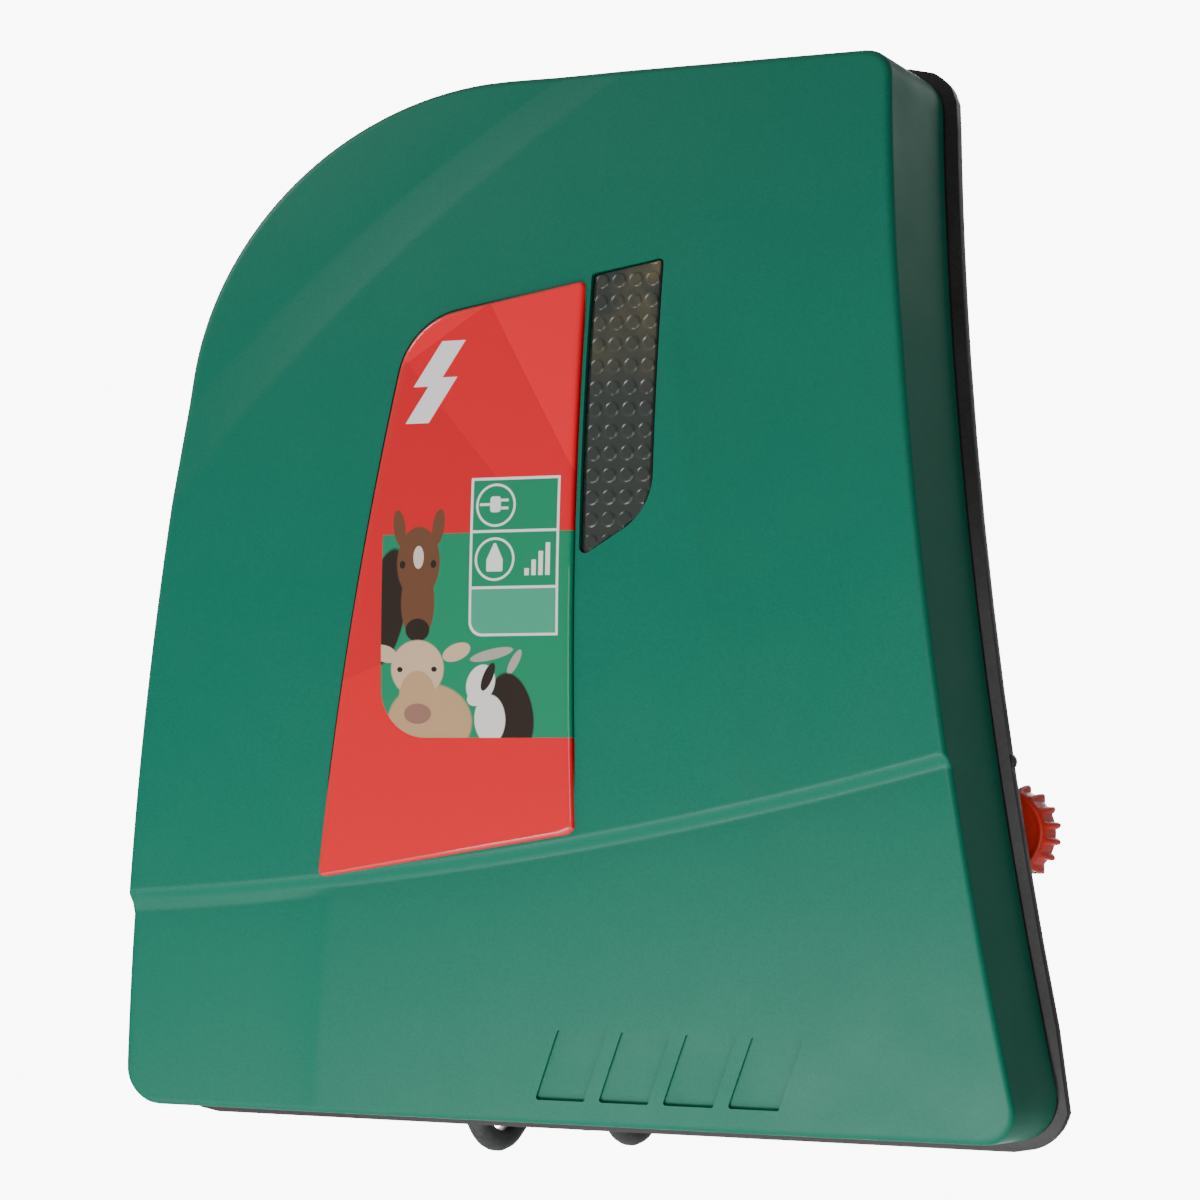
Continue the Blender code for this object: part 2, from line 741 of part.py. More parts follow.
def make_tabs():
    """L-shaped steel tabs on the tub's head and foot, each with a hole for a wall screw."""
    for number, (x, end) in enumerate(TABS, 1):
        wall_z = end * (COVER_TALL / 2 - TUB_INSET + GAP)
        outline = [
            (0, wall_z),
            (0, wall_z + end * TAB_TALL),
            (-TAB_THICK, wall_z + end * TAB_TALL),
            (-TAB_THICK, wall_z + end * TAB_THICK),
            (-TAB_FOOT, wall_z + end * TAB_THICK),
            (-TAB_FOOT, wall_z),
        ]
        tab = prism(f"hanging_tab_{number}", outline, x - TAB_HALF, x + TAB_HALF, "zinc_steel", 0)
        hole_z = wall_z + end * TAB_TALL / 2 + end * TAB_THICK / 2
        hole = rods(f"tab_hole_{number}", TAB_HOLE, [((x, -5 * MM, hole_z), (x, 3 * MM, hole_z))], None)
        combine(tab, hole)


def make_cover_screws():
    for number, (x, z) in enumerate(cover_screw_places(), 1):
        profile = [
            (0, SCREW_HEAD_THICK),
            (0.7 * SCREW_HEAD, SCREW_HEAD_THICK),
            (SCREW_HEAD, 0.4 * SCREW_HEAD_THICK),
            (SCREW_HEAD, 0),
            (SCREW_RADIUS, 0),
            (SCREW_RADIUS, -(FLANGE_THICK + SEAL_THICK + 3 * GAP + SCREW_BITE)),
            (0, -(FLANGE_THICK + SEAL_THICK + 3 * GAP + SCREW_BITE)),
        ]
        seat = arched_seat(z, SCREW_HEAD)
        turned(f"cover_screw_{number}", profile, "zinc_steel", (x, seat, z), (-math.pi / 2, 0, 0), 12)


def arched_seat(z, radius):
    """A depth just behind the flange's arched back, clear of it all round a head of that radius."""
    return FLANGE_BACK + GAP + max(sag(z - radius), sag(z + radius))


# Display and label -----------------------------------------------------------------------------------


def plate(name, corners, front, thick, look):
    """A thin arched plate of a small outline."""
    outline = rounded(corners)
    table = rows(outline, fractions(outline, 14 * MM))
    return lofted(name, [(table, arched(front)), (table, arched(front + thick))], look)


def make_label():
    back = FACE + LABEL_RECESS - GAP
    plate("label_plate", LABEL_OUTLINE, back - LABEL_PLATE, LABEL_PLATE, "label_print")
    plate("label_dome", LABEL_OUTLINE, back - LABEL_PLATE - GAP - LABEL_DOME, LABEL_DOME, "label_resin")


def make_display():
    plate("display_window", WINDOW_OUTLINE, FACE + WINDOW_SINK, WINDOW_THICK, "window_smoke")
    guide_front = FACE + COVER_WALL + GAP
    plate("light_guide", grown(WINDOW_OUTLINE, GUIDE_MARGIN), guide_front, GUIDE_THICK, "diffuser")
    left = WINDOW_OUTLINE[0][0]
    right = WINDOW_OUTLINE[2][0]
    low = WINDOW_OUTLINE[0][1]
    high = WINDOW_OUTLINE[2][1]
    front = guide_front + GUIDE_THICK + max(sag(low), sag(high)) + DISPLAY_BOARD_ROOM
    block("display_board", (left, front, low), (right, front + BOARD_THICK, high), "board")
    for number in range(LED_COUNT):
        z = low + (high - low) * (number + 1) / (LED_COUNT + 1)
        profile = [
            (0, 5 * MM),
            (0.7 * LED_RADIUS, 4.3 * MM),
            (LED_RADIUS, 2.8 * MM),
            (LED_RADIUS, 0),
            (0, 0),
        ]
        at = ((left + right) / 2, front - GAP, z)
        turned(f"led_{number + 1}", profile, "led_lens", at, (math.pi / 2, 0, 0), 12)


# Electronics -----------------------------------------------------------------------------------------


def make_main_board():
    board = block(
        "main_board",
        (BOARD_LEFT, BOARD_FRONT, BOARD_LOW),
        (BOARD_RIGHT, BOARD_FRONT + BOARD_THICK, BOARD_HIGH),
        "board",
    )
    holes = rods(
        "board_holes",
        SMALL_SCREW + LOOSE,
        [((x, BOARD_FRONT - 2 * MM, z), (x, BOARD_FRONT + 4 * MM, z)) for x, z in post_places()],
        None,
        10,
    )
    combine(board, holes)
    for number, (x, z) in enumerate(post_places(), 1):
        profile = [
            (0, 2 * MM),
            (2.6 * MM, 1.6 * MM),
            (2.6 * MM, 0),
            (SMALL_SCREW, 0),
            (SMALL_SCREW, -11 * MM),
            (0, -11 * MM),
        ]
        at = (x, BOARD_FRONT - GAP, z)
        turned(f"board_screw_{number}", profile, "zinc_steel", at, (math.pi / 2, 0, 0), 10)


def make_transformer():
    """A three-legged laminated core with its winding on the middle leg."""
    low = [middle - half for middle, half in zip((CORE_X, CORE_Y, CORE_Z), CORE_HALF)]
    high = [middle + half for middle, half in zip((CORE_X, CORE_Y, CORE_Z), CORE_HALF)]
    core = block("transformer_core", low, high, "core_steel")
    for side in (-1, 1):
        inner = CORE_X + side * CORE_LEG
        outer = CORE_X + side * (CORE_HALF[0] - CORE_LEG)
        opening = block(
            f"core_opening_{side}",
            (min(inner, outer), low[1] - 5 * MM, CORE_Z - CORE_OPENING_HALF),
            (max(inner, outer), high[1] + 5 * MM, CORE_Z + CORE_OPENING_HALF),
            None,
        )
        combine(core, opening)
    thick = CORE_HALF[0] - 2 * CORE_LEG - 2 * GAP
    inner_x = CORE_LEG + GAP
    inner_y = CORE_HALF[1] + GAP
    tall = CORE_OPENING_HALF - GAP
    winding = block(
        "transformer_winding",
        (CORE_X - inner_x - thick, CORE_Y - inner_y - WINDING_DEEP, CORE_Z - tall),
        (CORE_X + inner_x + thick, CORE_Y + inner_y + WINDING_DEEP, CORE_Z + tall),
        "winding",
    )
    leg_room = block(
        "leg_room",
        (CORE_X - inner_x, CORE_Y - inner_y, CORE_Z - tall - 5 * MM),
        (CORE_X + inner_x, CORE_Y + inner_y, CORE_Z + tall + 5 * MM),
        None,
    )
    combine(winding, leg_room)


def make_components():
    """The larger parts: two in the tub beside the recess, the others standing on the main board's front."""
    seat = BOARD_FRONT - GAP
    can_foot = Vector((CAN_RIGHT - CAN_RADIUS, CAN_Y, CAN_LOW))
    can_top = can_foot + Vector((0, 0, CAN_LONG))
    rods("storage_capacitor", CAN_RADIUS, [(can_foot, can_top)], "component_blue", 24)
    bpy.ops.mesh.primitive_torus_add(
        major_radius=CHOKE_RING, minor_radius=CHOKE_WIRE, major_segments=20, minor_segments=10
    )
    choke = bpy.context.object
    mesh = choke.data
    bpy.data.objects.remove(choke)
    choke_at = (CAN_RIGHT - CHOKE_RING - CHOKE_WIRE, CAN_Y, CHOKE_Z)
    place("charging_choke", mesh, "winding", choke_at, (math.pi / 2, 0, 0))
    for name, left, low, right, high, stands, look in (
        ("filter_capacitor", -52, 20, -26, 34, 17, "component_blue"),
        ("rectifier", -50, -22, -30, -17.5, 15, "component_dark"),
        ("thyristor", -11, -34, -1, -29.5, 16, "component_dark"),
        ("controller_chip", 22, -46, 34, -34, 2, "component_dark"),
    ):
        block(name, (left * MM, seat - stands * MM, low * MM), (right * MM, seat, high * MM), look)
    can_seat = Vector((-40 * MM, seat, -52 * MM))
    rods("bulk_capacitor", 9 * MM, [(can_seat, can_seat - Vector((0, 18 * MM, 0)))], "component_dark", 20)
    fuse_start = Vector((20 * MM, seat - 4 * MM, -72 * MM))
    fuse_end = fuse_start + Vector((22 * MM, 0, 0))
    rods("mains_fuse", 2.6 * MM, [(fuse_start, fuse_end)], "fuse_glass", 12)


def make_heat_sink():
    """A comb of fins standing on the main board."""
    seat = BOARD_FRONT - GAP
    root = seat - SINK_BASE
    tip = root - SINK_FIN_LONG
    right = SINK_LEFT + (SINK_FINS - 1) * SINK_PITCH + SINK_FIN_THICK
    outline = [(right, seat), (SINK_LEFT, seat)]
    for fin in range(SINK_FINS):
        start = SINK_LEFT + fin * SINK_PITCH
        end = start + SINK_FIN_THICK
        if fin > 0:
            outline.append((start, root))
        outline += [(start, tip), (end, tip)]
        if fin < SINK_FINS - 1:
            outline.append((end, root))
    prism("heat_sink", outline, SINK_LOW, SINK_HIGH, "aluminium", 2)


# Terminals -------------------------------------------------------------------------------------------


def stud_x(side):
    """The stud stands off the tub's sloping side by the knob's radius and a little room."""
    low = case_edge(TERMINAL_Z - KNOB_TIP, -TUB_INSET)[side > 0]
    high = case_edge(TERMINAL_Z + KNOB_TIP, -TUB_INSET)[side > 0]
    slope = math.atan2(abs(low - high), 2 * KNOB_TIP)
    return (low + high) / 2 + side * (KNOB_TIP + KNOB_OFF_TUB) / math.cos(slope)


def knob_mesh():
    """A ribbed cap about its own Z axis: smooth face at the top, ribs growing toward the foot."""
    shape = bmesh.new()
    rings = []
    for height, body, tip in (
        (KNOB_LONG, KNOB_FACE - 1.2 * MM, KNOB_FACE - 1.2 * MM),
        (KNOB_LONG - 0.8 * MM, KNOB_FACE, KNOB_FACE),
        (KNOB_LONG - 3 * MM, KNOB_BODY, KNOB_BODY + 0.6 * (KNOB_TIP - KNOB_BODY)),
        (0, KNOB_BODY, KNOB_TIP),
    ):
        ring = []
        for rib in range(KNOB_RIBS):
            for share, radius in ((-0.26, body), (-0.16, tip), (0.16, tip), (0.26, body)):
                angle = 2 * math.pi * (rib + share) / KNOB_RIBS
                ring.append(shape.verts.new((radius * math.cos(angle), radius * math.sin(angle), height)))
        rings.append(ring)
    count = len(rings[0])
    for ring, below in zip(rings, rings[1:]):
        for step in range(count):
            after = (step + 1) % count
            shape.faces.new((ring[step], ring[after], below[after], below[step]))
    shape.faces.new(rings[0])
    shape.faces.new(rings[-1])
    return mesh_of(shape)


def make_terminal(name, side, knob_look):
    """One terminal: block, bar, stud, nut, washer and knob, all on the stud's axis along Y."""
    x = stud_x(side)
    near_wall = case_edge(TERMINAL_Z - BLOCK_HALF, -TUB_INSET)[side > 0] + side * BLOCK_OFF_TUB
    far = x + side * (STUD_RADIUS + LOOSE + 0.8 * MM)
    holder = block(
        f"{name}_block",
        (min(near_wall, far), BLOCK_FRONT, TERMINAL_Z - BLOCK_HALF),
        (max(near_wall, far), BLOCK_FRONT + BLOCK_THICK, TERMINAL_Z + BLOCK_HALF),
        "case_black",
    )
    bore_ends = [((x, -40 * MM, TERMINAL_Z), (x, 2 * MM, TERMINAL_Z))]
    bore = rods(f"{name}_bore", STUD_RADIUS + LOOSE, bore_ends, None)
    combine(holder, bore)
    inner = case_edge(TERMINAL_Z, -TUB_INSET - TUB_WALL)[side > 0] - side * BAR_REACH
    bar_front = BLOCK_FRONT - GAP - BAR_THICK
    bar = block(
        f"{name}_bar",
        (min(inner, far), bar_front, TERMINAL_Z - BAR_HALF),
        (max(inner, far), bar_front + BAR_THICK, TERMINAL_Z + BAR_HALF),
        "brass",
    )
    combine(bar, bore)
    nut_foot = bar_front - GAP
    washer_foot = nut_foot - NUT_THICK - GAP
    knob_foot = washer_foot - WASHER_THICK - GAP
    outward = (math.pi / 2, 0, 0)
    head_top = BLOCK_FRONT + BLOCK_THICK + GAP
    stud_long = head_top - (knob_foot - KNOB_BORE + 0.8 * MM)
    turned(
        f"{name}_stud",
        [
            (0, stud_long),
            (STUD_RADIUS - 0.6 * MM, stud_long),
            (STUD_RADIUS, stud_long - 0.8 * MM),
            (STUD_RADIUS, 0),
            (STUD_HEAD, 0),
            (STUD_HEAD, -STUD_HEAD_THICK),
            (0, -STUD_HEAD_THICK),
        ],
        "zinc_steel",
        (x, head_top, TERMINAL_Z),
        outward,
    )
    for piece, foot, thick, radius, sides in (
        ("nut", nut_foot, NUT_THICK, NUT_RADIUS, 6),
        ("washer", washer_foot, WASHER_THICK, WASHER_RADIUS, 24),
    ):
        shape = bmesh.new()
        add_bar(shape, radius, thick, Matrix.Translation((0, 0, thick / 2)), sides)
        ring = place(f"{name}_{piece}", mesh_of(shape), "zinc_steel", (x, foot, TERMINAL_Z), outward)
        combine(ring, bore)
    knob = place(f"{name}_knob", knob_mesh(), knob_look, (x, knob_foot, TERMINAL_Z), outward)
    knob_bore = rods(
        f"{name}_knob_bore",
        STUD_RADIUS + LOOSE,
        [((x, knob_foot + 3 * MM, TERMINAL_Z), (x, knob_foot - KNOB_BORE, TERMINAL_Z))],
        None,
    )
    combine(knob, knob_bore)
    return Vector((inner, bar_front + BAR_THICK / 2, TERMINAL_Z))


def make_wires(fence_end, ground_end):
    """Wires from the two bars and from the gland to what they feed."""
    winding_y = CORE_Y - CORE_HALF[1] - 4 * MM
    tube(
        "fence_wire",
        [
            fence_end + Vector((-GAP, 0, 0)),
            fence_end + Vector((-5 * MM, 0, 0)),
            (CORE_X + 8 * MM, winding_y + 5 * MM, TERMINAL_Z + 8 * MM),
            (CORE_X, winding_y, CORE_Z - 46 * MM),
            (CORE_X, winding_y, CORE_Z - CORE_OPENING_HALF),
        ],
        1.5 * MM,
        "wire_red",
    )
    board_back = BOARD_FRONT + BOARD_THICK + GAP
    tube(
        "ground_wire",
        [
            ground_end + Vector((GAP, 0, 0)),
            ground_end + Vector((4 * MM, 0, 0)),
            ground_end + Vector((10 * MM, -7 * MM, -5 * MM)),
            ground_end + Vector((13 * MM, -16 * MM, -12 * MM)),
            (BOARD_LEFT + 2 * MM, board_back + 7 * MM, TERMINAL_Z - 16 * MM),
            (BOARD_LEFT + 3 * MM, board_back, TERMINAL_Z - 16 * MM),
        ],
        1.5 * MM,
        "wire_green",
    )
    floor = RECESS_FLOOR - TUB_WALL
    top = RECESS_TOP + TUB_WALL + 2 * MM + GAP
    tube(
        "mains_inner_lead",
        [
            (GLAND_X, HANK_Y, top + GAP),
            (GLAND_X, HANK_Y, top + 3 * MM),
            (GLAND_X, HANK_Y - 7 * MM, top + 7 * MM),
            (GLAND_X, floor + 2 * MM, top + 6.5 * MM),
            (GLAND_X, floor - 5.5 * MM, top - 1 * MM),
            (GLAND_X, floor - 6 * MM, BOARD_HIGH + 4 * MM),
            (GLAND_X, floor - 6 * MM, BOARD_HIGH - 5 * MM),
            (GLAND_X, board_back + 3.5 * MM, BOARD_HIGH - 12 * MM),
            (GLAND_X, board_back, BOARD_HIGH - 12 * MM),
        ],
        2.4 * MM,
        "lead_pvc",
    )


# Mains lead ------------------------------------------------------------------------------------------


def make_lead():
    """The gland, the lead and its hank in the recess, tied round the middle."""
    sleeve_end = RECESS_TOP - GAP - GLAND_SLEEVE
    turned(
        "cord_gland",
        [
            (0, RECESS_TOP + TUB_WALL + GAP + 2 * MM),
            (GLAND_COLLAR, RECESS_TOP + TUB_WALL + GAP + 2 * MM),
            (GLAND_COLLAR, RECESS_TOP + TUB_WALL + GAP),
            (GLAND_NECK, RECESS_TOP + TUB_WALL + GAP),
            (GLAND_NECK, RECESS_TOP - GAP),
            (GLAND_NECK + 1 * MM, RECESS_TOP - GAP),
            (GLAND_NECK + 1 * MM, RECESS_TOP - 3 * MM),
            (LEAD_RADIUS + 0.5 * MM, sleeve_end),
            (0, sleeve_end),
        ],
        "lead_pvc",
        (GLAND_X, HANK_Y, 0),
    )
    tube(
        "mains_lead",
        [(GLAND_X, HANK_Y, sleeve_end - GAP), (GLAND_X, HANK_Y, HANK_TOP_Z + GAP)],
        LEAD_RADIUS,
        "lead_pvc",
    )
    outline = bpy.data.curves.new("hank", "CURVE")
    outline.dimensions = "2D"
    outline.fill_mode = "BOTH"
    outline.extrude = HANK_WIDE / 2
    spline = outline.splines.new("POLY")
    arcs = 12
    spline.points.add(2 * arcs + 1)
    spline.use_cyclic_u = True
    for end in (0, 1):
        for step in range(arcs + 1):
            angle = math.pi * (end + step / arcs)
            y = HANK_DEEP / 2 * math.cos(angle)
            z = HANK_DEEP / 2 * math.sin(angle) + (0.5 - end) * HANK_RUN
            spline.points[end * (arcs + 1) + step].co = (y, z, 0, 1)
    middle_z = HANK_FOOT_Z + HANK_TALL / 2
    place("mains_hank", outline, "lead_pvc", (HANK_X, HANK_Y, middle_z), (math.pi / 2, 0, math.pi / 2))
    half_x = HANK_WIDE / 2 + GAP
    half_y = HANK_DEEP / 2 + GAP
    tie = block(
        "cord_tie",
        (HANK_X - half_x - TIE_THICK, HANK_Y - half_y - TIE_THICK, middle_z - TIE_TALL / 2),
        (HANK_X + half_x + TIE_THICK, HANK_Y + half_y + TIE_THICK, middle_z + TIE_TALL / 2),
        "tie_nylon",
    )
    tie_room = block(
        "tie_room",
        (HANK_X - half_x, HANK_Y - half_y, middle_z - TIE_TALL),
        (HANK_X + half_x, HANK_Y + half_y, middle_z + TIE_TALL),
        None,
    )
    combine(tie, tie_room)


def make_plug():
    """The plug above the hank, its pins parked in the recess's top."""
    top = RECESS_TOP - 0.5 * MM
    foot = top - PLUG_TALL
    plug = stacked(
        "mains_plug",
        [
            (top, PLUG_THIN, PLUG_HALF),
            (top - 0.6 * PLUG_TALL, PLUG_THIN, PLUG_HALF),
            (foot, LEAD_RADIUS + 2 * MM, 8 * MM),
            (foot - 1.5 * MM, LEAD_RADIUS + 1.6 * MM, LEAD_RADIUS + 1.6 * MM),
            (foot - PLUG_SLEEVE, LEAD_RADIUS + 0.4 * MM, LEAD_RADIUS + 0.4 * MM),
        ],
        "lead_pvc",
        (PLUG_X, HANK_Y, 0),
    )
    pins = rods(
        "plug_pins",
        PIN_RADIUS,
        [
            ((PLUG_X, HANK_Y + side, top - 5 * MM), (PLUG_X, HANK_Y + side, top + PIN_LONG))
            for side in (-PIN_APART, PIN_APART)
        ],
        None,
        12,
    )
    combine(plug, pins, "UNION")
    tube(
        "plug_lead",
        [(PLUG_X, HANK_Y, foot - PLUG_SLEEVE - GAP), (PLUG_X, HANK_Y, HANK_TOP_Z + GAP)],
        LEAD_RADIUS,
        "lead_pvc",
    )


make_cover()
make_seal()
make_flange()
make_tub()
make_tabs()
make_cover_screws()
make_label()
make_display()
make_main_board()
make_transformer()
make_components()
make_heat_sink()
fence_bar_end = make_terminal("fence", 1, "knob_red")
ground_bar_end = make_terminal("ground", -1, "knob_green")
make_wires(fence_bar_end, ground_bar_end)
make_lead()
make_plug()
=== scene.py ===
"""Looks for the wall-hung fence energizer: cover, label, window, knobs and mains lead on its frame.

Metres, in the frame's own axes: X to the right, Y into the wall, Z up.
"""

import functools
import json
import math

import bmesh
import bpy
from mathutils import Matrix, Vector


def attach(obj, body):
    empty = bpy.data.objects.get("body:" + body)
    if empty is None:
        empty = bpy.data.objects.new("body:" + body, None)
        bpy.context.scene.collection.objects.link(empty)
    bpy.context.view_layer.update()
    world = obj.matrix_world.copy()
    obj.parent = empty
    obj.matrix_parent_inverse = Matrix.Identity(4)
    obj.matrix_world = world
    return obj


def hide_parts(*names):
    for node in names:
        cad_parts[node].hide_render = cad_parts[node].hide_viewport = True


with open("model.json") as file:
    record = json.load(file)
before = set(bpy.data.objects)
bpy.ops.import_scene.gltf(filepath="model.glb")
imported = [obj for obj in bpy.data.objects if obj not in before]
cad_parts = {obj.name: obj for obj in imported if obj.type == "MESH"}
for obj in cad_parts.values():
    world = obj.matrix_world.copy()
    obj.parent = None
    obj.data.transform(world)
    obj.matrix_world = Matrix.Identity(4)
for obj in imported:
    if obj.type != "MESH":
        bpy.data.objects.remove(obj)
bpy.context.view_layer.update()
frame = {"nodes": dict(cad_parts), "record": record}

MM = 0.001
SAME = 1e-6  # keeps a share off the very ends of an outline

# The camera, and the pale floor far below the hanging object
CAMERA_AT = (0.3020, -0.7565, -0.1579)
CAMERA_AZIMUTH = math.radians(23.16)
CAMERA_PITCH = math.radians(5.31)
CAMERA_ROLL = math.radians(1.25)
CAMERA_LENS = 97.76
CAMERA_SENSOR = 36
FLOOR_Z = -0.9
FLOOR_HALF = 1.6
BACKDROP = 9.0  # brightness of the patch behind the object
BACKDROP_WAY = (-0.39, 0.92, 0.09)
ROOM_LIGHT = 0.42
ROOM_LIGHT_RIGHT = 0.06
DIM_WAY = (1, -0.25, 0)

# The cover's face, as the frame has it
MIDDLE_Z = -88 * MM  # height of the cover's middle in the frame
COVER_TALL = 240 * MM
HEAD_HALF = 81 * MM
FOOT_HALF = 110.9 * MM
SIDE_HOLLOW = 2.1 * MM
SAIL_RADIUS = 78 * MM
HEAD_RADIUS = 7 * MM
FOOT_RADIUS = 8 * MM
FACE_RADIUS = 470 * MM
CREST_Z = 11 * MM
COVER_DEPTH = 29 * MM
SIDE_DRAFT = 3 * MM
END_DRAFT = 0.5 * MM
EDGE_ROUND = 1.6 * MM
COVER_WALL = 3 * MM
FACE = -96.3 * MM

# Relief on the face: the ledge, its chamfer, and the creases
LEDGE_STEP = 2.2 * MM
LEDGE_MIDDLE_Z = -59.1 * MM
LEDGE_SLOPE = 0.165
LEDGE_BEND = 0.52
LEDGE_CHAMFER = 2.4 * MM
CREASE_SOFT = 0.5 * MM
RIGHT_CREASE = [(66, -124), (17.6, 150)]  # straight, upward, in millimetres
RIGHT_CREASE_FALL = 0.085
RIGHT_CREASE_TOP_Z = 74 * MM  # the right crease starts here, and deepens over its growth
CREASE_GROWTH = 30 * MM
LEFT_CREASE = [(-59.6, -124), (-49.9, -64.9)]
LEFT_CREASE_FALL = 0.075
BAND_OUTER = ((-92, 39.5), (5, 121.5), 4.7)  # each edge of the swept band: its two ends and its bulge
BAND_INNER = ((-95, 15), (20, 121), 6.3)
SWEPT_STEPS = 12
BAND_FALL = 0.11
CREASE_REACH = 11 * MM  # a crease's slope fades out over this

# Label and window outlines: (x, z, corner radius) about the cover's middle, anticlockwise
LABEL_OUTLINE = [
    (-52.1 * MM, -65.6 * MM, 1.5 * MM),
    (12.9 * MM, -54.8 * MM, 1.5 * MM),
    (13.1 * MM, 69.7 * MM, 1.5 * MM),
    (-30.4 * MM, 62.3 * MM, 17 * MM),
]
WINDOW_OUTLINE = [
    (14.5 * MM, 6.5 * MM, 1.2 * MM),
    (31.2 * MM, 17 * MM, 14 * MM),
    (31.2 * MM, 73.7 * MM, 1 * MM),
    (14.5 * MM, 70.9 * MM, 0.6 * MM),
]
GAP = 0.3 * MM
CUTTER_AHEAD = 5 * MM  # cutters start this far in front of the face
LABEL_PIT = 3.4 * MM
WINDOW_PIT = 20 * MM
LABEL_RECESS = 1.6 * MM
LABEL_THICK = 2.2 * MM
LABEL_ROUND = 0.9 * MM
LABEL_ROOM = 0.12 * MM  # drawn in from the pit's edge by this, besides the gap
WINDOW_SINK = 0.4 * MM
WINDOW_THICK = 2 * MM
LENS_PITCH_X = 4.1 * MM
LENS_PITCH_Z = 4.95 * MM
LENS_LEFT_X = 16.7 * MM
LENS_RADIUS = 1.75 * MM
LENS_EDGE = 0.4 * MM
LENS_RISE = 0.25 * MM

# Print on the label, in millimetres about the cover's middle
PRINT_SOFT = 0.06  # half the width of every printed edge
RED = (0.95, 0.006, 0.020)
DEEP_RED = (0.78, 0.003, 0.014)
DEEPEST_RED = (0.62, 0.003, 0.012)
GREEN = (0.004, 0.24, 0.11)
PALE_GREEN = (0.05, 0.36, 0.22)
WHITE = (0.86, 0.88, 0.86)
HIDES = {
    "brown": (0.15, 0.06, 0.028),
    "dark": (0.022, 0.012, 0.008),
    "pale": (0.72, 0.62, 0.52),
    "tan": (0.52, 0.32, 0.17),
    "fawn": (0.66, 0.46, 0.30),
    "pink": (0.30, 0.15, 0.11),
    "white": (0.80, 0.78, 0.74),
    "horn": (0.42, 0.38, 0.32),
}
# Three animals drawn with ovals: (hide, middle x, middle z, half wide, half tall, lean in degrees)
ANIMALS = [
    ("dark", -33.0, -4.0, 5.0, 13.5, -10),
    ("brown", -30.0, 14.0, 1.5, 4.2, 8),
    ("brown", -20.2, 14.0, 1.5, 4.2, -8),
    ("brown", -25.0, 6.0, 5.4, 8.2, 0),
    ("brown", -25.0, -3.0, 4.2, 9.0, 0),
    ("dark", -29.0, 5.6, 0.7, 0.9, 0),
    ("dark", -21.2, 5.6, 0.7, 0.9, 0),
    ("pale", -25.0, 7.2, 1.3, 2.6, 0),
    ("dark", -25.0, -9.3, 3.0, 2.6, 0),
    ("tan", -22.0, -30.0, 10.5, 8.5, 0),
    ("fawn", -33.2, -14.6, 3.2, 1.9, -18),
    ("fawn", -15.2, -14.4, 3.6, 1.9, 20),
    ("fawn", -25.0, -18.0, 6.6, 6.4, 0),
    ("tan", -25.0, -24.5, 4.6, 6.0, 0),
    ("dark", -29.4, -18.2, 0.7, 0.6, 0),
    ("dark", -20.8, -18.2, 0.7, 0.6, 0),
    ("pink", -25.0, -28.2, 3.4, 2.3, 0),
    ("horn", -6.5, -15.0, 5.4, 1.2, 12),
    ("horn", -0.9, -16.8, 1.0, 3.2, -30),
    ("dark", -1.6, -28.0, 5.2, 9.0, 12),
    ("white", -7.0, -29.5, 3.8, 5.5, 0),
    ("white", -9.2, -21.5, 3.4, 4.4, -25),
    ("dark", -7.4, -20.0, 1.2, 3.4, -25),
    ("white", -10.8, -25.0, 1.8, 1.5, 0),
]
# The bolt's two halves, each between four straight sides: (share of x, share of z, edge)
BOLT_HALVES = [
    [(-0.85, 0.53, 48.5), (0.85, -0.53, -43.5), (0, 1, 57), (0, -1, -46.5)],
    [(-0.85, 0.53, 45.3), (0.85, -0.53, -40.3), (0, 1, 48.5), (0, -1, -38)],
]

# Emblem: four plain slanted bars, sunk in the face
EMBLEM_LOW_Z = -114.5 * MM
EMBLEM_HIGH_Z = -98.5 * MM
EMBLEM_LEFT = -2 * MM
EMBLEM_WIDE = 12 * MM
EMBLEM_PITCH = 15.5 * MM
EMBLEM_LEAN = 7 * MM
EMBLEM_COUNT = 4
EMBLEM_DEEP = 1.0 * MM
EMBLEM_ROUND = 0.6 * MM

# Terminals
STUD_X = 96.2 * MM
STUD_Z = -140 * MM
KNOB_FOOT_Y = -32.6 * MM
KNOB_LONG = 9 * MM
KNOB_BORE = 7.5 * MM
KNOB_BORE_RADIUS = 3.4 * MM
KNOB_BODY = 10.3 * MM
KNOB_TIP = 11.75 * MM
KNOB_FACE = 9.9 * MM
KNOB_RIBS = 18
PER_RIB = 16  # points round each rib

# Mains lead, from the gland down to the hank and up to the plug
LEAD_RADIUS = 2.8 * MM
HANK_Y = -21.7 * MM
FOLD_RADIUS = 16.8 * MM
GLAND_X = -36 * MM
GLAND_END_Z = -41.6 * MM
PLUG_X = -1.2 * MM
PLUG_END_Z = -69.8 * MM
TOP_FOLD_Z = -115.6 * MM  # height of the top folds' centres
FOOT_FOLD_Z = -199.4 * MM  # height of the lowest foot fold's centre
# The folds' places, in millimetres: top folds, foot folds, and how far each foot fold stands up
TOP_XS = (-36, -30.2, -24.4, -18.6, -12.8, -7, -1.2)
FOOT_XS = (-36.2, -30.4, -24.4, -18.4, -12.4, -0.8)
FOOT_RISES = (0, 6, 6.6, 6.3, 6, 3)


# Camera, floor and light ----------------------------------------------------------------------------


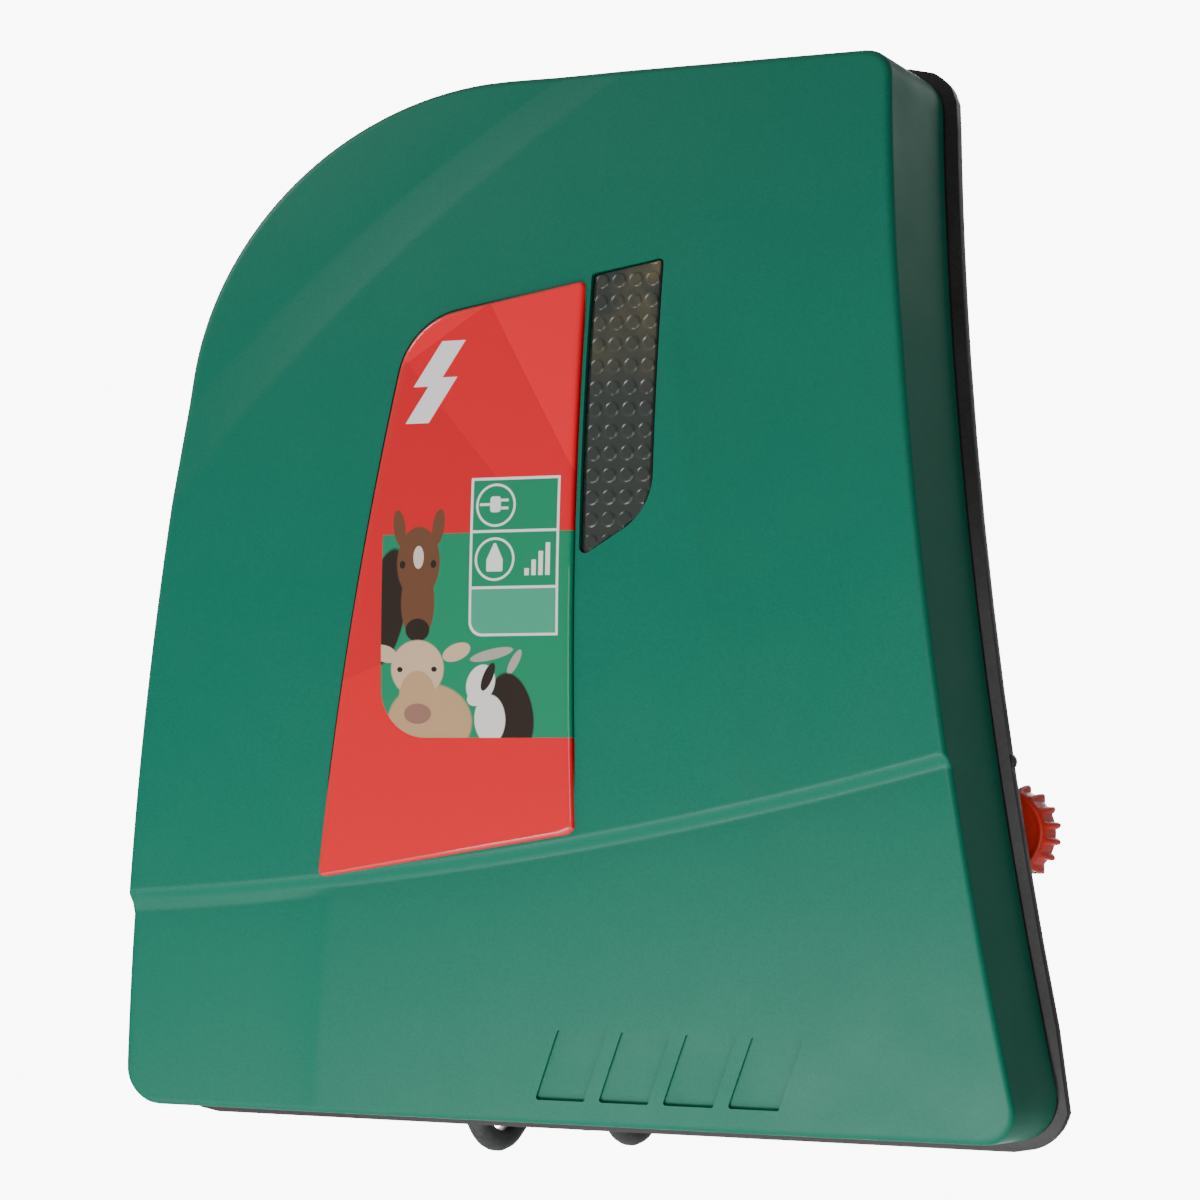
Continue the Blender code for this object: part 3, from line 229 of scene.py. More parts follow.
def make_camera():
    forward = Vector(
        (
            -math.sin(CAMERA_AZIMUTH) * math.cos(CAMERA_PITCH),
            math.cos(CAMERA_AZIMUTH) * math.cos(CAMERA_PITCH),
            math.sin(CAMERA_PITCH),
        )
    )
    level = Vector((math.cos(CAMERA_AZIMUTH), math.sin(CAMERA_AZIMUTH), 0))
    upright = level.cross(forward)
    right = math.cos(CAMERA_ROLL) * level + math.sin(CAMERA_ROLL) * upright
    up = math.cos(CAMERA_ROLL) * upright - math.sin(CAMERA_ROLL) * level
    data = bpy.data.cameras.new("camera")
    data.lens = CAMERA_LENS
    data.sensor_width = CAMERA_SENSOR
    camera = bpy.data.objects.new("camera", data)
    turn = Matrix((right, up, -forward)).transposed().to_4x4()
    camera.matrix_world = Matrix.Translation(CAMERA_AT) @ turn
    bpy.context.scene.collection.objects.link(camera)
    bpy.context.scene.camera = camera


def make_light(name, at, toward, size, power):
    data = bpy.data.lights.new(name, "AREA")
    data.shape = "RECTANGLE"
    data.size, data.size_y = size
    data.energy = power
    light = bpy.data.objects.new(name, data)
    light.location = at
    light.rotation_euler = (Vector(toward) - Vector(at)).to_track_quat("-Z", "Y").to_euler()
    bpy.context.scene.collection.objects.link(light)


def make_world():
    """Soft light from all round, dimmer from the right, with a bright patch of backdrop behind the object."""
    world = bpy.data.worlds.new("studio")
    world.use_nodes = True
    tree = world.node_tree
    direction = tree.nodes.new("ShaderNodeTexCoord").outputs["Generated"]

    def share_toward(toward, low, high, start, end):
        dot = tree.nodes.new("ShaderNodeVectorMath")
        dot.operation = "DOT_PRODUCT"
        dot.inputs[1].default_value = Vector(toward).normalized()
        tree.links.new(direction, dot.inputs[0])
        node = tree.nodes.new("ShaderNodeMapRange")
        node.interpolation_type = "SMOOTHSTEP"
        for socket, value in zip(node.inputs[1:5], (low, high, start, end)):
            socket.default_value = value
        tree.links.new(dot.outputs["Value"], node.inputs["Value"])
        return node.outputs["Result"]

    backdrop = share_toward(BACKDROP_WAY, 0.9, 0.965, 0.0, BACKDROP)
    room = share_toward(DIM_WAY, -0.3, 0.9, ROOM_LIGHT, ROOM_LIGHT_RIGHT)
    total = tree.nodes.new("ShaderNodeMath")
    total.operation = "ADD"
    tree.links.new(backdrop, total.inputs[0])
    tree.links.new(room, total.inputs[1])
    background = tree.nodes["Background"]
    background.inputs["Color"].default_value = (1, 1, 1, 1)
    tree.links.new(total.outputs[0], background.inputs["Strength"])
    bpy.context.scene.world = world


def make_studio():
    make_world()
    make_light("low_front", (-0.12, -0.9, -0.8), (0.05, -0.09, -0.18), (0.6, 0.4), 7)
    make_light("below", (0, -0.45, -0.85), (0, -0.3, 0), (1.4, 1.0), 7)
    make_light("front", (0.35, -1.1, -0.25), (0, -0.09, -0.1), (0.5, 0.5), 2.5)
    make_light("left_high", (-0.9, -0.55, 0.7), (0, -0.09, -0.05), (0.35, 0.35), 5)
    make_light("right_back", (0.5, 0.85, 0.5), (0.1, -0.06, -0.02), (0.35, 0.3), 0.6)
    mesh = bpy.data.meshes.new("floor")
    corners = [(x, y, 0) for x, y in ((-1, -1), (1, -1), (1, 1), (-1, 1))]
    mesh.from_pydata([Vector(corner) * FLOOR_HALF for corner in corners], [], [(0, 1, 2, 3)])
    floor = bpy.data.objects.new("floor", mesh)
    floor.location.z = FLOOR_Z
    bpy.context.scene.collection.objects.link(floor)
    material = bpy.data.materials.new("pale_floor")
    material.use_nodes = True
    material.node_tree.nodes["Principled BSDF"].inputs["Base Color"].default_value = (0.85, 0.85, 0.85, 1)
    mesh.materials.append(material)


# Materials ------------------------------------------------------------------------------------------


class Paint:
    """A Principled material under construction, with object coordinates in metres."""

    def __init__(self, name, colour, roughness, metallic=0.0):
        self.material = bpy.data.materials.new(name)
        self.material.use_nodes = True
        self.tree = self.material.node_tree
        self.shader = self.tree.nodes["Principled BSDF"]
        self.set("Base Color", (*colour, 1))
        self.set("Roughness", roughness)
        self.set("Metallic", metallic)
        self.place = self.tree.nodes.new("ShaderNodeTexCoord").outputs["Object"]

    def set(self, socket, value):
        self.shader.inputs[socket].default_value = value

    def link(self, output, target):
        self.tree.links.new(output, target)

    def math(self, operation, first, second=0.0, third=None):
        node = self.tree.nodes.new("ShaderNodeMath")
        node.operation = operation
        values = (first, second) if third is None else (first, second, third)
        for socket, value in zip(node.inputs, values):
            if isinstance(value, (int, float)):
                socket.default_value = value
            else:
                self.link(value, socket)
        return node.outputs[0]

    def noise(self, scale, detail=3.0, stretch=None):
        node = self.tree.nodes.new("ShaderNodeTexNoise")
        node.inputs["Scale"].default_value = scale
        node.inputs["Detail"].default_value = detail
        source = self.place
        if stretch:
            mapping = self.tree.nodes.new("ShaderNodeMapping")
            mapping.inputs["Scale"].default_value = stretch
            self.link(source, mapping.inputs["Vector"])
            source = mapping.outputs[0]
        self.link(source, node.inputs["Vector"])
        return node.outputs["Fac"]

    def cells(self, scale):
        node = self.tree.nodes.new("ShaderNodeTexVoronoi")
        node.inputs["Scale"].default_value = scale
        self.link(self.place, node.inputs["Vector"])
        return node

    def ramp(self, source, low, high, start=0.0, end=1.0):
        node = self.tree.nodes.new("ShaderNodeMapRange")
        for socket, value in zip(node.inputs[1:5], (low, high, start, end)):
            socket.default_value = value
        self.link(source, node.inputs["Value"])
        return node.outputs["Result"]

    def mix(self, share, first, second):
        node = self.tree.nodes.new("ShaderNodeMix")
        node.data_type = "RGBA"
        if isinstance(share, (int, float)):
            node.inputs["Factor"].default_value = share
        else:
            self.link(share, node.inputs["Factor"])
        for socket, value in ((node.inputs["A"], first), (node.inputs["B"], second)):
            if isinstance(value, tuple):
                socket.default_value = (*value, 1)
            else:
                self.link(value, socket)
        return node.outputs["Result"]

    def colour_from(self, output):
        self.link(output, self.shader.inputs["Base Color"])

    def roughness_from(self, output):
        self.link(output, self.shader.inputs["Roughness"])

    def bump(self, height, distance, strength=1.0):
        node = self.tree.nodes.new("ShaderNodeBump")
        node.inputs["Distance"].default_value = distance
        node.inputs["Strength"].default_value = strength
        self.link(height, node.inputs["Height"])
        self.link(node.outputs[0], self.shader.inputs["Normal"])


def moulded(name, colour, roughness, grain=2200, grain_deep=0.03 * MM, fleck=0.12):
    """Moulded plastic: fine grain in the bump, small flecks in the colour, soft blotches in the gloss."""
    paint = Paint(name, colour, roughness)
    flecks = paint.cells(grain).outputs["Color"]
    split = paint.tree.nodes.new("ShaderNodeSeparateColor")
    paint.link(flecks, split.inputs[0])
    bright = tuple(min(1, part * (1 + 2.2 * fleck) + 0.02 * fleck) for part in colour)
    dark = tuple(part * (1 - fleck) for part in colour)
    paint.colour_from(paint.mix(split.outputs[0], dark, bright))
    paint.roughness_from(paint.ramp(paint.noise(60), 0.3, 0.7, roughness - 0.03, roughness + 0.05))
    paint.bump(paint.noise(grain, 2), grain_deep, 0.6)
    return paint


def green_plastic():
    paint = moulded("pearl_green", (0.002, 0.150, 0.092), 0.42, 2600, 0.02 * MM, 0.04)
    paint.set("Specular IOR Level", 0.24)
    return paint.material


def metal(name, colour, roughness, brush=(400, 400, 40)):
    paint = Paint(name, colour, roughness, 1.0)
    streaks = paint.noise(8, 4, brush)
    paint.roughness_from(paint.ramp(streaks, 0.3, 0.7, roughness - 0.08, roughness + 0.12))
    paint.colour_from(paint.mix(paint.noise(220), tuple(part * 0.82 for part in colour), colour))
    paint.bump(streaks, 0.01 * MM, 0.4)
    return paint.material


class Print(Paint):
    """A print: shares from 0 to 1 over x and z, in millimetres about the cover's middle."""

    def __init__(self, name, colour, roughness):
        super().__init__(name, colour, roughness)
        split = self.tree.nodes.new("ShaderNodeSeparateXYZ")
        self.link(self.place, split.inputs[0])
        self.x = self.math("MULTIPLY", split.outputs["X"], 1 / MM)
        self.z = self.math("MULTIPLY_ADD", split.outputs["Z"], 1 / MM, -MIDDLE_Z / MM)

    def along(self, across, up):
        return self.math("ADD", self.math("MULTIPLY", self.x, across), self.math("MULTIPLY", self.z, up))

    def below(self, value, edge):
        return self.ramp(value, edge - PRINT_SOFT, edge + PRINT_SOFT, 1, 0)

    def side(self, across, up, edge):
        """The half of the print where across * x + up * z stays below the edge."""
        return self.below(self.along(across, up), edge)

    def both(self, *shares):
        return functools.reduce(lambda first, second: self.math("MULTIPLY", first, second), shares)

    def either(self, *shares):
        return functools.reduce(lambda first, second: self.math("MAXIMUM", first, second), shares)

    def off(self, at_x, at_z):
        return self.math("SUBTRACT", self.x, at_x), self.math("SUBTRACT", self.z, at_z)

    def squares(self, first, second):
        return self.math("ADD", self.math("MULTIPLY", first, first), self.math("MULTIPLY", second, second))

    def box(self, left, right, low, high, radius=0.12):
        off = self.off((left + right) / 2, (low + high) / 2)
        over = []
        for part, half in zip(off, ((right - left) / 2, (high - low) / 2)):
            past = self.math("SUBTRACT", self.math("ABSOLUTE", part), half - radius)
            over.append(self.math("MAXIMUM", past, 0))
        return self.below(self.math("SQRT", self.squares(*over)), radius)

    def disc(self, at_x, at_z, radius):
        return self.below(self.math("SQRT", self.squares(*self.off(at_x, at_z))), radius)

    def ring(self, at_x, at_z, outer, inner):
        hole = self.math("SUBTRACT", 1.0, self.disc(at_x, at_z, inner))
        return self.both(self.disc(at_x, at_z, outer), hole)

    def oval(self, at_x, at_z, wide, tall, lean):
        off_x, off_z = self.off(at_x, at_z)
        cosine = math.cos(math.radians(lean))
        sine = math.sin(math.radians(lean))
        across = self.math(
            "ADD", self.math("MULTIPLY", off_x, cosine / wide), self.math("MULTIPLY", off_z, sine / wide)
        )
        up = self.math(
            "ADD", self.math("MULTIPLY", off_z, cosine / tall), self.math("MULTIPLY", off_x, -sine / tall)
        )
        return self.ramp(self.squares(across, up), 0.94, 1.06, 1, 0)


def print_field(paint):
    """The red ground with its darker facets, and the green field below."""
    look = paint.mix(paint.both(paint.side(0.86, 0.5, 24), paint.side(-0.55, 0.83, 60)), RED, DEEP_RED)
    facet = paint.both(paint.side(0.75, 0.66, 12), paint.side(0.35, -0.94, 4))
    look = paint.mix(paint.math("MULTIPLY", facet, 0.5), look, DEEPEST_RED)
    look = paint.mix(paint.math("MULTIPLY", paint.side(0.87, 0.49, -50), 0.6), look, DEEP_RED)
    field = paint.both(paint.box(-34.2, 40, -33.6, 40, 11), paint.below(paint.z, 12.5))
    return paint.mix(field, look, GREEN)


def print_animals(paint, look):
    inside = paint.both(paint.box(-34.2, 40, -33.6, 60, 11), paint.below(paint.z, 20))
    for tone, *oval in ANIMALS:
        look = paint.mix(paint.both(paint.oval(*oval), inside), look, HIDES[tone])
    return look


def print_table(paint, look):
    """A green table in a white line, round at its bottom left corner, with a paler lowest row."""
    outer = paint.either(
        paint.box(-12.2, 9.7, -10.9, 24.9, 3.2), paint.box(-12.2, 9.7, 10, 24.9), paint.box(2, 9.7, -10.9, 12)
    )
    inner = paint.either(
        paint.box(-11.6, 9.1, -10.3, 24.3, 2.8), paint.box(-11.6, 9.1, 10, 24.3), paint.box(2, 9.1, -10.3, 12)
    )
    look = paint.mix(outer, look, WHITE)
    look = paint.mix(inner, look, GREEN)
    return paint.mix(paint.both(inner, paint.below(paint.z, 0)), look, PALE_GREEN)


def print_pictograms(paint, look):
    """A plug and a drop in rings, four rising bars, and the table's two lines, all in white."""
    lines = [paint.box(-11.8, 9.3, 12.4, 13.0), paint.box(-11.8, 9.3, -0.3, 0.3)]
    lines += [paint.ring(-6.0, at_z, 4.9, 4.35) for at_z in (18.6, 6.4)]
    lines += [
        paint.box(-7.4, -4.8, 17.0, 20.6, 0.7),
        paint.box(-4.8, -2.9, 19.4, 20.0),
        paint.box(-4.8, -2.9, 17.6, 18.2),
        paint.box(-10.0, -7.4, 18.5, 19.1),
    ]
    point = paint.both(paint.side(0.9, 0.43, -0.87), paint.side(-0.9, 0.43, 9.92))
    drop = paint.either(paint.disc(-6.0, 5.6, 1.9), point)
    lines.append(paint.both(drop, paint.box(-8.0, -4.0, 3.6, 10, 0.4)))
    for step in range(4):
        left = 1.4 + 1.7 * step
        lines.append(paint.box(left, left + 1.1, 2.6, 4.2 + 1.9 * step))
    return paint.mix(paint.either(*lines), look, WHITE)


def label_print():
    """A glossy red print with darker facets, a green field and a white-lined table of round pictograms."""
    paint = Print("label_print", (0.8, 0.06, 0.05), 0.35)
    paint.set("Coat Weight", 0.7)
    paint.set("Coat Roughness", 0.03)
    paint.set("Specular IOR Level", 0.2)
    look = print_field(paint)
    look = print_animals(paint, look)
    look = print_table(paint, look)
    look = print_pictograms(paint, look)
    halves = [paint.both(*(paint.side(*edge) for edge in edges)) for edges in BOLT_HALVES]
    paint.colour_from(paint.mix(paint.either(*halves), look, WHITE))
    return paint.material


def window_smoke():
    """Smoked plastic, browner at its top, where light comes through from behind."""
    paint = Paint("window_smoke", (0.035, 0.042, 0.035), 0.26)
    split = paint.tree.nodes.new("ShaderNodeSeparateXYZ")
    paint.link(paint.place, split.inputs[0])
    upper = paint.ramp(split.outputs["Z"], -45 * MM, -20 * MM)
    blotch = paint.ramp(paint.noise(90), 0.4, 0.65)
    brown = paint.mix(paint.math("MULTIPLY", upper, blotch), (0.034, 0.041, 0.036), (0.12, 0.10, 0.05))
    x = split.outputs["X"]
    from_left = paint.ramp(x, 15.1 * MM, 15.5 * MM)
    from_right = paint.ramp(x, 30.3 * MM, 30.7 * MM, 1, 0)
    rim = paint.math("MULTIPLY", from_left, from_right)
    paint.colour_from(paint.mix(rim, (0.006, 0.007, 0.006), brown))
    return paint.material


def clear(name, colour):
    paint = Paint(name, colour, 0.08)
    paint.set("Transmission Weight", 0.9)
    paint.roughness_from(paint.ramp(paint.noise(300), 0.3, 0.7, 0.05, 0.12))
    return paint.material


def laminated():
    paint = Paint("core_steel", (0.24, 0.24, 0.25), 0.5, 0.8)
    sheets = paint.noise(6, 1, (0, 300, 0))
    paint.colour_from(paint.mix(sheets, (0.1, 0.1, 0.1), (0.36, 0.36, 0.37)))
    paint.bump(sheets, 0.1 * MM)
    return paint.material


def wound():
    paint = Paint("winding", (0.6, 0.25, 0.07), 0.35, 0.3)
    turns = paint.noise(6, 1, (0, 0, 260))
    paint.colour_from(paint.mix(turns, (0.25, 0.08, 0.02), (0.72, 0.34, 0.12)))
    paint.bump(turns, 0.15 * MM)
    return paint.material


def board():
    paint = Paint("board", (0.02, 0.16, 0.06), 0.42)
    traces = paint.ramp(paint.noise(160, 1), 0.5, 0.53)
    paint.colour_from(paint.mix(traces, (0.012, 0.11, 0.04), (0.03, 0.2, 0.08)))
    paint.bump(traces, 0.04 * MM)
    return paint.material


def make_looks():
    """One material for each of the record's slots."""
    return {
        "cover_green": green_plastic(),
        "case_black": moulded("case_black", (0.0065, 0.0062, 0.0055), 0.42, 1500, 0.03 * MM, 0.2).material,
        "seal_rubber": moulded("seal_rubber", (0.008, 0.008, 0.008), 0.7, 1200).material,
        "window_smoke": window_smoke(),
        "diffuser": moulded("diffuser", (0.7, 0.66, 0.48), 0.5).material,
        "label_print": label_print(),
        "board": board(),
        "led_lens": clear("led_lens", (0.85, 0.1, 0.05)),
        "core_steel": laminated(),
        "winding": wound(),
        "component_dark": moulded("component_dark", (0.02, 0.02, 0.022), 0.45).material,
        "component_blue": moulded("component_blue", (0.03, 0.12, 0.4), 0.3).material,
        "aluminium": metal("aluminium", (0.78, 0.79, 0.8), 0.35),
        "fuse_glass": clear("fuse_glass", (0.85, 0.9, 0.9)),
        "zinc_steel": metal("zinc_steel", (0.62, 0.62, 0.6), 0.32),
        "brass": metal("brass", (0.78, 0.56, 0.24), 0.28),
        "knob_red": moulded("knob_red", (0.9, 0.04, 0.022), 0.36, 1400, 0.02 * MM, 0.06).material,
        "knob_green": moulded("knob_green", (0.02, 0.26, 0.1), 0.36, 1400, 0.02 * MM, 0.06).material,
        "wire_red": moulded("wire_red", (0.6, 0.03, 0.03), 0.4).material,
        "wire_green": moulded("wire_green", (0.05, 0.3, 0.08), 0.4).material,
        "lead_pvc": moulded("lead_pvc", (0.03, 0.032, 0.032), 0.5, 900, 0.05 * MM, 0.15).material,
        "tie_nylon": moulded("tie_nylon", (0.012, 0.012, 0.012), 0.45).material,
    }


# Outlines -------------------------------------------------------------------------------------------


def sag(z):
    """How far the arched face lies behind its crest, z being a height about the cover's middle."""
    return FACE_RADIUS - math.sqrt(FACE_RADIUS**2 - (z - CREST_Z) ** 2)


def rounded(corners, step=math.radians(3)):
    """The closed outline through anticlockwise (x, z, radius) corners, each turned as an arc."""
    points = []
    for before, corner, after in zip(corners[-1:] + corners[:-1], corners, corners[1:] + corners[:1]):
        here = Vector(corner[:2])
        way_in = (here - Vector(before[:2])).normalized()
        way_out = (Vector(after[:2]) - here).normalized()
        turn = way_in.angle(way_out)
        start = here - way_in * corner[2] * math.tan(turn / 2)
        left = Vector((-way_in.y, way_in.x))
        steps = max(6, round(turn / step))
        for piece in range(steps + 1):
            spin = Matrix.Rotation(turn * piece / steps, 2)
            points.append(start + left * corner[2] - (spin @ left) * corner[2])
    return points


def crossings(outline, z):
    """Lowest and highest x where a convex outline crosses height z."""
    found = []
    for start, end in zip(outline, outline[1:] + outline[:1]):
        if (start.y > z) != (end.y > z):
            found.append(start.x + (end.x - start.x) * (z - start.y) / (end.y - start.y))
    return min(found), max(found)


def case_corners(outset, rise):
    half_tall = COVER_TALL / 2 + rise
    foot = FOOT_HALF + outset
    head = HEAD_HALF + outset
    extra = min(outset, rise) if outset < 0 else outset
    return [
        (-foot, -half_tall, max(FOOT_RADIUS + extra, 3 * MM)),
        (foot, -half_tall, max(FOOT_RADIUS + extra, 3 * MM)),
        (head, half_tall, max(HEAD_RADIUS + extra, 3 * MM)),
        (-head, half_tall, SAIL_RADIUS + extra),
    ]


def case_rows(marks, outset, rise):
    """(z, left, right) of the case's outline at shares of its height, its sides slightly hollow."""
    outline = rounded(case_corners(outset, rise))
    half_tall = COVER_TALL / 2 + rise
    table = []
    for mark in marks:
        z = half_tall * (2 * min(max(mark, SAME), 1 - SAME) - 1)
        left, right = crossings(outline, z)
        hollow = SIDE_HOLLOW * max(0, 1 - (2 * z / COVER_TALL) ** 2)
        table.append((z, left + hollow, right - hollow))
    return table


def spaced(stops):
    """Shares from 0 to 1 through (share, step) stops, each step holding from its share to the next."""
    marks = []
    for (start, step), (end, _) in zip(stops, stops[1:]):
        pieces = max(1, round((end - start) / step))
        marks += [start + (end - start) * piece / pieces for piece in range(pieces)]
    return marks + [1.0]


@functools.cache
def swept(start, end, bulge):
    """A curve of (x, z) millimetres from start to end, bulging to the left of the way by its middle."""
    (x0, z0), (x1, z1) = start, end
    long = math.hypot(x1 - x0, z1 - z0)
    line = []
    for step in range(SWEPT_STEPS + 1):
        share = step / SWEPT_STEPS
        out = bulge * 4 * share * (1 - share) / long
        line.append((x0 + (x1 - x0) * share - (z1 - z0) * out, z0 + (z1 - z0) * share + (x1 - x0) * out))
    return line


def side_of(line, x, z):
    """Signed distance of a point from a bent line of (x, z) millimetres, positive on its right."""
    best = None
    for (x0, z0), (x1, z1) in zip(line, line[1:]):
        way = Vector((x1 - x0, z1 - z0)) * MM
        off = Vector((x - x0 * MM, z - z0 * MM))
        share = min(1, max(0, off.dot(way) / way.length_squared))
        gap = off - way * share
        if best is None or gap.length < abs(best):
            turn = way.x * off.y - way.y * off.x
            best = -math.copysign(gap.length, turn)
    return best


def fall(distance, slope, soft):
    """A slope that starts at distance 0, eased over a soft width, and levels out over the creases' reach."""
    if distance <= -soft:
        return 0.0
    if distance < soft:
        return slope * (distance + soft) ** 2 / (4 * soft)
    return slope * (soft + CREASE_REACH * (1 - math.exp((soft - distance) / CREASE_REACH)))


def ramped(value):
    """A straight ramp from 0 to 1 with small rounds at both ends."""
    spread = 0.12
    total = 0.0
    for part in (-1, -0.5, 0, 0.5, 1):
        total += min(1, max(0, value + part * spread)) / 5
    return total


def ease(value):
    value = min(1, max(0, value))
    return value * value * (3 - 2 * value)


# Mesh helpers ---------------------------------------------------------------------------------------


def add_piece(name, shape, look, body="case", smooth_angle=35):
    """A piece from a bmesh, shaded smooth but for its sharp edges, that rides on a body."""
    bmesh.ops.recalc_face_normals(shape, faces=shape.faces)
    mesh = bpy.data.meshes.new(name)
    shape.to_mesh(mesh)
    shape.free()
    mesh.materials.append(look)
    mesh.shade_smooth()
    mesh.set_sharp_from_angle(angle=math.radians(smooth_angle))
    piece = bpy.data.objects.new(name, mesh)
    bpy.context.scene.collection.objects.link(piece)
    if body:
        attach(piece, body)
    return piece


def joined(shape, ring, other):
    for here, after, far, far_after in zip(ring, ring[1:] + ring[:1], other, other[1:] + other[:1]):
        shape.faces.new((here, after, far_after, far))


def grid_rim(grid):
    """The closed loop of points round a grid of rows."""
    left = [row[0] for row in grid]
    right = [row[-1] for row in grid]
    return left + grid[-1][1:-1] + right[::-1] + grid[0][1:-1][::-1]


def filled(shape, grid):
    for row, above in zip(grid, grid[1:]):
        for step in range(len(row) - 1):
            shape.faces.new((row[step], row[step + 1], above[step + 1], above[step]))


def row_grid(shape, table, columns, depth):
    """A grid of points over a table of rows, depth(x, z) giving each one's place along Y."""
    grid = []
    for z, left, right in table:
        xs = [left + (right - left) * step / columns for step in range(columns + 1)]
        grid.append([shape.verts.new((x, depth(x, z), z + MIDDLE_Z)) for x in xs])
    return grid


def prism_cutter(name, corners, front, back):
    """A hidden cutter: a rounded outline pushed along Y from front(x, z) to back(x, z)."""
    outline = rounded(corners)
    shape = bmesh.new()
    ring, far = (
        [shape.verts.new((point.x, depth(*point), point.y + MIDDLE_Z)) for point in outline]
        for depth in (front, back)
    )
    shape.faces.new(ring)
    shape.faces.new(far)
    joined(shape, ring, far)
    bmesh.ops.recalc_face_normals(shape, faces=shape.faces)
    mesh = bpy.data.meshes.new(name)
    shape.to_mesh(mesh)
    shape.free()
    cutter = bpy.data.objects.new(name, mesh)
    bpy.context.scene.collection.objects.link(cutter)
    return cutter


def cut(piece, cutters):
    """Takes the cutters out of the piece for good, then removes them."""
    for cutter in cutters:
        boolean = piece.modifiers.new(cutter.name, "BOOLEAN")
        boolean.object = cutter
        boolean.solver = "EXACT"
    bpy.context.view_layer.update()
    graph = bpy.context.evaluated_depsgraph_get()
    mesh = bpy.data.meshes.new_from_object(piece.evaluated_get(graph))
    piece.modifiers.clear()
    old = piece.data
    piece.data = mesh
    bpy.data.meshes.remove(old)
    for cutter in cutters:
        bpy.data.objects.remove(cutter, do_unlink=True)


def grown(corners, amount):
    middle_x = sum(corner[0] for corner in corners) / len(corners)
    middle_z = sum(corner[1] for corner in corners) / len(corners)
    return [
        (
            x + math.copysign(1, x - middle_x) * amount,
            z + math.copysign(1, z - middle_z) * amount,
            max(radius + amount, 0.1 * MM),
        )
        for x, z, radius in corners
    ]


# Cover ----------------------------------------------------------------------------------------------


def relief(x, z):
    """How far the face is sunk below the plain arch: the ledge, the creases and the swept band."""
    ledge_z = LEDGE_MIDDLE_Z + LEDGE_SLOPE * x + LEDGE_BEND * x * x
    deep = LEDGE_STEP * ramped((ledge_z - z) / LEDGE_CHAMFER + 0.5)
    grows = ease((RIGHT_CREASE_TOP_Z - z) / CREASE_GROWTH)
    deep += grows * fall(side_of(RIGHT_CREASE, x, z), RIGHT_CREASE_FALL, CREASE_SOFT)
    below = ease((ledge_z - z) / LEDGE_CHAMFER - 0.5)
    deep += below * fall(-side_of(LEFT_CREASE, x, z), LEFT_CREASE_FALL, CREASE_SOFT)
    if z > 10 * MM and x < 30 * MM:
        inner = fall(-side_of(swept(*BAND_INNER), x, z), BAND_FALL, CREASE_SOFT)
        outer = fall(-side_of(swept(*BAND_OUTER), x, z), BAND_FALL, CREASE_SOFT)
        deep += inner - outer
    return deep


def make_cover(look):
    marks = spaced([(0, 0.0008), (0.02, 0.006), (0.17, 0.0022), (0.37, 0.006), (0.97, 0.0008), (1, 1)])
    columns = 240
    shape = bmesh.new()
    face = row_grid(
        shape,
        case_rows(marks, -EDGE_ROUND, -EDGE_ROUND),
        columns,
        lambda x, z: FACE + sag(z) + relief(x, z),
    )
    filled(shape, face)
    rim = grid_rim(face)
    rings = [rim]
    steps = 6
    edge_relief = [point.co.y - (FACE + sag(point.co.z - MIDDLE_Z)) for point in rim]
    for step in range(1, steps + 1):
        angle = math.pi / 2 * step / steps
        inset = -EDGE_ROUND * (1 - math.sin(angle))
        table = case_rows(marks, inset, inset)
        rings.append(ring_of(shape, table, columns, EDGE_ROUND * (1 - math.cos(angle)), edge_relief))
    table = case_rows(marks, SIDE_DRAFT, END_DRAFT)
    rings.append(ring_of(shape, table, columns, COVER_DEPTH, None))
    table = case_rows(marks, SIDE_DRAFT - COVER_WALL, END_DRAFT - COVER_WALL)
    rings.append(ring_of(shape, table, columns, COVER_DEPTH, None))
    for ring, other in zip(rings, rings[1:]):
        joined(shape, ring, other)
    table = case_rows(marks, -COVER_WALL, -COVER_WALL)
    inside = ring_of(shape, table, columns, LEDGE_STEP + COVER_WALL, None)
    joined(shape, rings[-1], inside)
    closed_by_rows(shape, inside, len(table), columns)
    cover = add_piece("cover_shell", shape, look, None)
    label_pit = prism_cutter(
        "label_pit",
        grown(LABEL_OUTLINE, GAP),
        lambda x, z: FACE - CUTTER_AHEAD,
        lambda x, z: FACE + LABEL_PIT,
    )
    window_hole = prism_cutter(
        "window_hole",
        grown(WINDOW_OUTLINE, GAP),
        lambda x, z: FACE - CUTTER_AHEAD,
        lambda x, z: FACE + WINDOW_PIT,
    )
    cut(cover, [label_pit, window_hole] + emblem_cutters())
    cover.data.set_sharp_from_angle(angle=math.radians(35))
    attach(cover, "case")
    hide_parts("front_cover")


def ring_of(shape, table, columns, deep, edge_relief):
    """A closed loop of points round the case, deep behind the face, sunk with its rim if that is given."""
    grid = []
    for place, (z, left, right) in enumerate(table):
        ends = place in (0, len(table) - 1)
        count = columns if ends else 1
        grid.append([(left + (right - left) * step / count, z) for step in range(count + 1)])
    flat = grid_rim(grid)
    relief_here = edge_relief or [0.0] * len(flat)
    ring = []
    for (x, z), sunk in zip(flat, relief_here):
        ring.append(shape.verts.new((x, FACE + sag(z) + deep + sunk, z + MIDDLE_Z)))
    return ring


def closed_by_rows(shape, ring, rows, columns):
    """Fills a loop that ring_of made, with one strip for each pair of its rows."""
    left = ring[:rows]
    high = ring[rows : rows + columns - 1]
    right = ring[rows + columns - 1 : 2 * rows + columns - 1][::-1]
    low = ring[2 * rows + columns - 1 :][::-1]
    for row in range(rows - 1):
        below = low if row == 0 else []
        above = high[::-1] if row == rows - 2 else []
        shape.faces.new([left[row]] + below + [right[row], right[row + 1]] + above + [left[row + 1]])


